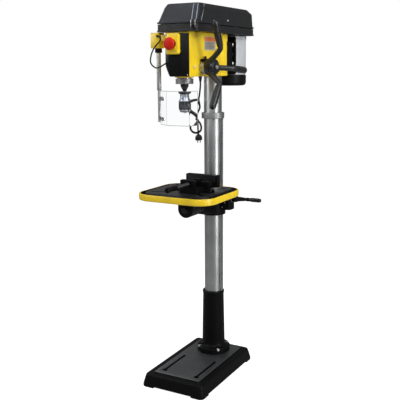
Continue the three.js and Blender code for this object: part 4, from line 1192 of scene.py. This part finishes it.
def shield_bend_glint(bend, neighbour):
    """A painted highlight: the bright line that a bend shows down the outside of the sheet."""
    bend, neighbour = Vector((*bend, 0)), Vector((*neighbour, 0))
    foot = bend + (neighbour - bend).normalized() * 5
    foot += Vector((foot.x, foot.y + 240, 0)).normalized() * 1.1
    return swept([foot + Vector((0, 0, z)) for z in (SHIELD_Z[0] + 1, 1200, SHIELD_Z[1] - 1)], 0.55, 8)


def make_shield():
    corners = [(*corner, SHIELD_BEND_R) for corner in SHIELD[1:3]]
    bent = fillet([SHIELD[0], *corners, SHIELD[3]], 8)
    line = [Vector(p) for p in bent]
    inner, outer = [], []
    for i, p in enumerate(line):
        way = (line[min(i + 1, len(line) - 1)] - line[max(i - 1, 0)]).normalized()
        side = Vector((-way.y, way.x)) * SHIELD_HALF
        inner.append(tuple(p + side))
        outer.append(tuple(p - side))
    sheet = prism(outer + inner[::-1], *SHIELD_Z)
    piece("guard_sheet", sheet, "guard", "clear_plastic", ["guard_shield"], 0.5)
    # painted highlight: a thin line of paint down the outside of each bend, for the light it catches
    for mark, (i, j) in enumerate(((1, 0), (2, 3))):
        bend_glint = shield_bend_glint(SHIELD[i], SHIELD[j])
        piece(f"guard_crease_{mark + 1}", bend_glint, "guard", "clear_plastic", paint="guard_line")
    low, high = SHIELD_Z[0] + 0.9, SHIELD_Z[1] - 0.9
    edges = [swept([(x, y, z) for x, y in bent], 0.9, 8) for z in (low, high)]
    edges += [swept([(*SHIELD[i], z) for z in (low, high)], 0.9, 8) for i in (0, 3)]
    piece("guard_edges", together(*edges), "guard", "clear_plastic", paint="guard_line")


# ---------------- belt housing
# height, half width, front and rear, then the radii of the front and the rear corners. The lid's
# outside runs from its rim up, its inside from the roof down, and the tray's skin outside first.
LID_OUTSIDE = ((1560, 96, -316, 254, 14, 38), (1564.2, 96, -316, 254, 14, 38),
               (1565.6, 94.6, -314.6, 252.6, 14, 38), (1567, 91.6, -311.6, 249.6, 15, 36),
               (1569, 91, -311, 249, 16, 36), (1619, 85.4, -281.6, 248.2, 20, 30.5),
               (1623, 84.7, -279.3, 246.5, 20, 30), (1638, 78.6, -267.9, 212, 21.5, 27),
               (1640.2, 77.5, -264.8, 206, 22, 26), (1641, 75.5, -262.5, 202.5, 20, 24))
LID_INSIDE = ((1637.4, 72, -259, 199, 18, 22), (1621, 81.4, -276.4, 243, 17, 27),
              (1570, 87.4, -307.4, 245.4, 13, 33), (1560, 92.4, -312.4, 250.4, 11, 35))
TRAY_SKIN = ((1527.3, 97, -317, 255, 16, 41), (1531.5, 97, -317, 255, 16, 41),
             (1533, 95.4, -315.4, 253.4, 15, 39.4), (1535, 94, -314, 252, 14, 38),
             (1557, 94, -314, 252, 14, 38), (1557, 91, -311, 249, 11, 35), (1530.3, 91, -311, 249, 11, 35))
RIB_LOW, RIB_HIGH = 1569, 1636
# x and y of each rib's foot and top
RIBS = (((69, -311.2), (59, -272)), ((86.6, -306.6), (74.4, -264.6)), ((91.2, -272), (79.6, -226)))


def housing_skin(*sections):
    rows = [rrect_row(z, (-half, half), (front, rear), *radii, steps=10)
            for z, half, front, rear, *radii in sections]
    return rings(rows)


def lid_rib(foot, top):
    """A rib up the lid's corner that bends with the lid's shoulder. Its lighter blue-grey paint is a painted
    highlight: the light that the corner's edges catch.
    """
    foot, top = Vector((*foot, RIB_LOW)), Vector((*top, RIB_HIGH))
    on_side = foot.x > 90
    knee = foot.lerp(top, 0.79) + Vector((1.0 if on_side else 0, 0 if on_side else -1.2, 0.4))
    return swept(spline([foot, foot.lerp(knee, 0.5), knee, top], 14), 1.7, 12)


def make_lid():
    obj = new_object("lid", housing_skin(*LID_INSIDE, *LID_OUTSIDE))
    settle(obj, "belt_lid", "cover_paint", ["belt_lid"], 30)
    # painted light and shade: the lid's sides and back take the darker, greyer paint, and its front and top
    # keep the lighter navy, by which way each face turns
    second_paint(obj, "lid_side", lambda c, n: abs(n.x) > 0.75 or n.y > 0.35)
    ribs = together(*[lid_rib(foot, top) for foot, top in RIBS])
    # painted highlight: the ribs take a lighter blue-grey where the lid's corner edges catch the light
    piece("lid_ribs", ribs, "belt_lid", "cover_paint", paint="rib_navy")
    places = [(91.2 - (z - RIB_LOW) * 0.112, y, z) for y, z in ((-162, 1573), (-31, 1581))]
    screws("lid_screws", along_x(socket_screw(4.6, 2.4)), places, "belt_lid", paint="zinc")
    hinge = along_y(rod(3.1, -24, 24, 32, 0.6), -97.4, 0, 1559)
    piece("lid_hinges", copies(hinge, [(0, y) for y in (-190, -30, 130)]), "belt_lid", "shaft_steel")


def make_tray():
    cuts = [moved(rod(14, 1520, 1540, 64), 0, SPINDLE_Y), moved(rod(9.4, 1520, 1540, 48), 0, IDLER_Y),
            prism(rrect((-16, 16), (140, 186), 15.6, steps=10), 1520, 1540)]
    obj = built("tray", [housing_skin(*TRAY_SKIN)], cuts)
    settle(obj, "stand", "black_plastic", ["belt_tray"], 32, "lid_side")


def make_latch():
    strap = prism_y(rrect((68, 96), (1536, 1572), 3, steps=4), -317.8, -319.6)
    wires = [block((x - 0.9, x + 0.9), (-323.4, -319.4), (1541, 1570)) for x in (72.5, 91.5)]
    nub = prism_y(rrect((76, 88), (1540, 1552), 3, steps=4), -319.4, -328)
    piece("latch_strap", strap, "lid_latch", "cover_paint", ["lid_latch"], 0.5, paint="lid_side")
    piece("latch_wires", together(*wires), "lid_latch", "shaft_steel", bevel=0.3, paint="zinc")
    piece("latch_nub", nub, "lid_latch", "black_plastic", bevel=1.4)


# ---------------- pulleys and belts
STEP_Z = (1546, 1564, 1582, 1600)
PULLEY_LOW, PULLEY_HIGH = 1537, 1609
PULLEY_BORE_R = 9.3
SPINDLE_STEPS = (52, 45, 37, 29)
IDLER_STEPS = (44, 51, 59, 67)
MOTOR_STEPS = (61, 54, 46, 38)


def make_pulley(name, y, steps):
    profile = [(PULLEY_BORE_R, PULLEY_LOW)]
    for r, z in zip(steps, STEP_Z):
        for inset, up in ((0.6, -8.7), (0, -8.1), (0, -5), (6, -1.6), (6, 1.6), (0, 5), (0, 8.1), (0.6, 8.7)):
            profile.append((r - inset, z + up))
    profile.append((PULLEY_BORE_R, PULLEY_HIGH))
    piece(name + "_turned", moved(lathe(profile, 96), 0, y), name, "cast_alloy", [name])


def belt(step, front_y, front_steps, rear_y, rear_steps):
    """A V belt round one step of two pulleys, in their grooves."""
    front_r, rear_r, z = front_steps[step], rear_steps[step], STEP_Z[step]
    lean = math.asin((front_r - rear_r) / (rear_y - front_y))
    line = [(rear_y, rear_r, lean + (math.pi - 2 * lean) * k / 32) for k in range(33)]
    line += [(front_y, front_r, math.pi - lean + (math.pi + 2 * lean) * k / 32) for k in range(33)]
    section = [(-4.9, -2.0), (0.8, -4.8), (1.4, -4.2), (1.4, 4.2), (0.8, 4.8), (-4.9, 2.0)]
    rows = [[((r + out) * math.cos(a), y + (r + out) * math.sin(a), z + up) for out, up in section]
            for y, r, a in line]
    return rings(rows, capped=False)


def make_pulleys():
    make_pulley("spindle_pulley", SPINDLE_Y, SPINDLE_STEPS)
    make_pulley("idler_pulley", IDLER_Y, IDLER_STEPS)
    make_pulley("motor_pulley", MOTOR_Y, MOTOR_STEPS)
    front = belt(1, SPINDLE_Y, SPINDLE_STEPS, IDLER_Y, IDLER_STEPS)
    rear = belt(2, IDLER_Y, IDLER_STEPS, MOTOR_Y, MOTOR_STEPS)
    piece("belt_front", front, "stand", "belt_rubber", ["drive_belt_front"], sharp=30)
    piece("belt_rear", rear, "stand", "belt_rubber", ["drive_belt_rear"], sharp=30)


# ---------------- motor
PLATE_FRONT, PLATE_BACK = span("motor_plate")[1]


def on_motor(shape):
    return moved(shape, 0, MOTOR_Y)


def make_motor():
    body = turning([(0, 1350), (70, 1350, 3), (74, 1354, 2), (74, 1508, 2), (76, 1510, 1), (76, 1524, 3),
                    (0, 1524)], 4, 128)
    foot = block((-44, 44), (PLATE_BACK + 0.3, 122), (1368, 1500))
    wiring_box = block((-34, 34), (229, 253), (1388, 1470))
    obj = built("motor_body", [on_motor(body), foot, wiring_box])
    bevelled(obj, 1.4)
    settle(obj, "motor", "cast_alloy", ["motor_body"], paint="motor_silver")
    shaft = turning([(0, 1523), (8.8, 1523), (8.8, 1606, 1), (0, 1606)], 3, 40)
    piece("motor_stub", on_motor(shaft), "motor_pulley", "shaft_steel")


def make_fan_cover():
    cover = turning([(0, 1302), (62, 1302, 4), (72, 1306, 8), (75.5, 1316, 6), (75.5, 1349.6, 1),
                     (0, 1349.6)], 7, 128)
    vents = []
    for k in range(9):
        y = -44 + 11 * k
        half = math.sqrt(56 ** 2 - y * y)
        vents.append(on_motor(prism(rrect((-half, half), (y - 2, y + 2), 1.9, steps=3), 1298, 1308)))
    obj = built("fan_cover", [on_motor(cover)], vents)
    settle(obj, "motor", "black_plastic", ["motor_fan_cover"])


def make_motor_mount():
    plate = prism_y(rrect((-71, 71), (1352, 1520), 10, steps=6), PLATE_FRONT, PLATE_BACK)
    piece("motor_mount", plate, "motor", "black_cast", ["motor_plate"], 1.5)
    places = [(x, PLATE_FRONT - 0.1, z) for x in (-BOLT_X, BOLT_X) for z in BOLT_ROWS]
    screws("motor_bolts", along_front(hex_bolt(7, 5, 1.4)), places, "motor", 0.4, "zinc")
    bar = along_y(rod(9, 22, PLATE_FRONT + 0.2, 40, 0.8), 0, 0, BARS_Z)
    piece("slide_bars", copies(bar, [(-BARS_X,), (BARS_X,)]), "motor", "shaft_steel",
          ["slide_bar_1", "slide_bar_2"])


# ---------------- quill and chuck
COLLAR_SLIT_ANGLE = 28
JAW_ANGLES = (30, 150, 270)
KEY_HOLE_ANGLES = (-88, 32, 152)


def on_spindle(shape):
    return moved(shape, 0, SPINDLE_Y)


def make_quill():
    quill = turning([(12.4, 1318.2), (30, 1318.2, 1), (30, 1488, 1), (12.4, 1488)], 3, 96)
    piece("quill_tube", on_spindle(quill), "quill", "shaft_steel", ["quill"])
    collar = turning([(30.4, 1318), (36.4, 1318, 1.5), (37.2, 1321, 1), (37.2, 1326.5, 0.5),
                      (36.2, 1327.4, 0.4), (36.2, 1329, 0.4), (37.2, 1330, 0.5), (37.2, 1340, 1.6),
                      (30.4, 1340)], 4, 96)
    slit = on_spindle(spun(block((-1.6, 1.6), (-48, -28), (1310, 1345)), COLLAR_SLIT_ANGLE))
    piece("depth_collar", on_spindle(collar), "quill", "collar_steel", ["quill_collar"], 0, [slit])
    nose = turning([(0, 1288), (8, 1288), (8.5, 1293, 1), (16.6, 1308, 2), (17, 1317, 1), (12, 1318, 0.4),
                    (12, 1496), (9, 1500), (9, 1624, 1), (0, 1624)], 4, 64)
    piece("spindle_nose", on_spindle(nose), "spindle", "shaft_steel", ["spindle"], paint="blackened")


def jaw_point(degrees, end):
    """The foot (0) of a jaw, or a point 40 mm of height further up its leaning line (1)."""
    angle = math.radians(degrees)
    reach = 3.65 + 6.4 * end
    return Vector((reach * math.cos(angle), SPINDLE_Y + reach * math.sin(angle), 1198 + 40 * end))


def on_jaw(shape, degrees):
    return aimed(shape, jaw_point(degrees, 0), jaw_point(degrees, 1))


def make_chuck():
    top = turning([(0, 1287), (16, 1287, 1), (25, 1286.4, 1), (26, 1284, 1), (26, 1278.5, 1),
                   (24, 1276.6, 1), (18.5, 1274, 2), (19.4, 1264, 4), (23.8, 1249.2, 2),
                   (24.6, 1247.3, 0.6), (16.2, 1247.3), (16.2, 1212.7), (22.6, 1212.7, 1), (21.8, 1208, 1),
                   (18, 1202, 1.5), (7.4, 1202, 0.5), (5.2, 1206), (0, 1206)], 4, 96)
    holes = [moved(spun(along_x(rod(3.2, 12, 30, 24)), a), 0, SPINDLE_Y, 1258) for a in KEY_HOLE_ANGLES]
    bores = [on_jaw(rod(3.45, -3, 53, 24), a) for a in JAW_ANGLES]
    core = piece("chuck_core", on_spindle(top), "spindle", "chuck_steel", ["chuck_body"], 0, holes + bores,
                 paint="chuck_bright")
    second_paint(core, "chuck_steel", lambda c, n: c.z > 1274)
    pin = turning([(0, 0), (1.4, 0), (3.05, 3.4, 0.5), (3.05, 38, 0.6), (0, 38)], 3, 24)
    for k, angle in enumerate(JAW_ANGLES):
        body = f"chuck_jaw_{k + 1}"
        piece(body + "_pin", on_jaw(pin, angle), body, "shaft_steel", [body])


def make_chuck_sleeve():
    knurls, depth = 60, 0.55
    rows = []
    for z, r in ((1213.2, 24.2), (1214.6, 25.1), (1244.4, 25.2), (1246.8, 24.2)):
        row = []
        for k in range(2 * knurls):
            angle, radius = math.pi * k / knurls, r - depth * (k % 2)
            row.append((radius * math.cos(angle), SPINDLE_Y + radius * math.sin(angle), z))
        rows.append(row)
    bands = [lathe([(24.4, z), (27, z), (27, z + 1.6), (24.4, z + 1.6)], 96) for z in (1221.5, 1236.5)]
    cuts = [on_spindle(cut) for cut in (rod(16.6, 1200, 1260, 64), *bands)]
    obj = built("sleeve", [rings(rows)], cuts)
    settle(obj, "chuck_sleeve", "chuck_steel", ["chuck_sleeve"], 20)


# ---------------- feed
LEVER_START = 115.7
LEVER_PLANE = 163.0
LEVER_R = 11.7
SCALE_X = (60.8, 72.0)
SCALE_R = 29.0
SCALE_MARKS = 40


def on_feed(shape):
    return along_x(shape, 0, FEED_Y, FEED_Z)


def round_feed(shape, degrees):
    """Turns a shape drawn about the x axis and puts it on the feed's axis."""
    return moved(spun(shape, degrees, "X"), 0, FEED_Y, FEED_Z)


def make_depth_scale():
    low, high = SCALE_X
    ring = turning([(14.7, low), (28, low, 0.6), (SCALE_R, low + 1, 0.4), (SCALE_R, high - 1, 1),
                    (27.6, high, 0.4), (14.7, high)], 3, 128)
    marks = []
    for k in range(SCALE_MARKS):
        length = 5.5 if k % 5 == 0 else 3.2
        mark = block((high - 2 - length, high - 1), (-0.32, 0.32), (SCALE_R - 0.25, SCALE_R + 1))
        marks.append(round_feed(mark, 360 * k / SCALE_MARKS))
    piece("depth_scale", on_feed(ring), "feed", "cast_alloy", ["depth_ring"], 0, [together(*marks)],
          paint="depth_silver")
    drum = turning([(24.1, 72.4), (28.3, 72.4, 0.6), (28.9, 73.4, 0.4), (28.9, 82.5, 0.6),
                    (24.1, 82.5)], 3, 96)
    piece("depth_drum", on_feed(drum), "feed", "cast_alloy", paint="depth_silver")
    pointer = block((58.6, 61), (-277, -264), (1380, 1394))
    piece("depth_pointer", pointer, "stand", "cast_alloy", bevel=0.8, paint="mark_cream")


def make_depth_stop():
    section = ((61.2, 29.4), (79.5, 29.4), (79.5, 36), (61.2, 36))
    rows = [round_feed(([(x, r, 0) for x, r in section], []), 42 + 11 * k)[0] for k in range(9)]
    piece("depth_stop", rings(rows), "stand", "black_plastic", bevel=1.2)
    knob = moved(rod(5, 34, 46, 10, 1), 67.5)
    piece("depth_lock_screw", round_feed(knob, -18), "stand", "black_plastic")


def make_feed_hub():
    shaft = turning([(0, -84), (8.6, -84, 0.8), (9, -82), (9, -25), (14.3, -24.6), (14.3, 99),
                     (0, 99)], 3, 64)
    piece("pinion_shaft", on_feed(shaft), "feed", "shaft_steel", ["feed_shaft"])
    hub = turning([(0, 72.3), (14.6, 72.3), (22, 72.3, 1), (23.8, 75, 1), (23.8, 83), (33, 83.3, 1.5),
                   (35, 88, 2), (35, 114, 3), (29, 125, 5), (14, 129, 1), (12.4, 127.4, 0.5),
                   (0, 127.2)], 5, 96)
    piece("lever_hub", on_feed(hub), "feed", "grip_plastic", ["feed_hub"])
    bolt = moved(spun(hex_bolt(7.2, 5.4, 1.4), 20), 0, 0, 127.0)
    piece("hub_bolt", on_feed(bolt), "feed", "shaft_steel", bevel=0.3, paint="zinc")


def make_levers():
    line = [(104, 0, 26), (122, 0, 42), (147, 0, 65), (157, 0, 74.5), (LEVER_PLANE, 0, 83),
            (LEVER_PLANE, 0, 90)]
    arm = swept(spline(line, 24), [LEVER_R - 1.6 * k / 24 for k in range(25)], 32)
    boss = turning([(0, 0), (13.5, 0, 2), (12.4, 16, 3), (0, 16)], 4, 40)
    boss = aimed(boss, (107, 0, 28), (125, 0, 44.5))
    grip = turning([(0, 88.3), (10.5, 88.3, 1), (12.2, 90, 1), (13, 99, 4), (14.3, 125, 20), (14.5, 170, 10),
                    (14.4, 187, 4), (10.5, 195.6, 4), (5, 197), (0, 197)], 6)
    grooves = [lathe([(11.8, z), (15, z), (15, z + 1.1), (11.8, z + 1.1)], 40) for z in (91.5, 94.1)]
    for k in range(3):
        angle = LEVER_START - 90 + 120 * k
        number = k + 1
        piece(f"lever_arm_{number}", round_feed(arm, angle), "feed", "black_cast",
              [f"feed_lever_{number}"], paint="lever_black")
        piece(f"lever_boss_{number}", round_feed(boss, angle), "feed", "grip_plastic")
        cuts = [round_feed(moved(groove, LEVER_PLANE), angle) for groove in grooves]
        piece(f"lever_grip_{number}", round_feed(moved(grip, LEVER_PLANE), angle), "feed", "grip_plastic",
              [f"feed_grip_{number}"], 0, cuts)


def make_spring_housing():
    cap = turning([(9.4, -59.6), (34, -59.6, 1), (34, -84, 4), (26, -88, 3), (14, -92, 2),
                   (9.4, -92, 0.5)], 5, 96)
    notch = block((-94, -82), (-2.2, 2.2), (30.5, 40))
    notches = [round_feed(notch, 45 * k) for k in range(8)]
    piece("spring_housing", on_feed(cap), "stand", "black_cast", ["spring_cap"], 0, notches)


make_head()
make_label()
make_cover()
make_stop()
make_switch_box()
make_switch_lead()
make_guard_post()
make_shield()
make_lid()
make_tray()
make_latch()
make_pulleys()
make_motor()
make_fan_cover()
make_motor_mount()
make_quill()
make_chuck()
make_chuck_sleeve()
make_depth_scale()
make_depth_stop()
make_feed_hub()
make_levers()
make_spring_housing()
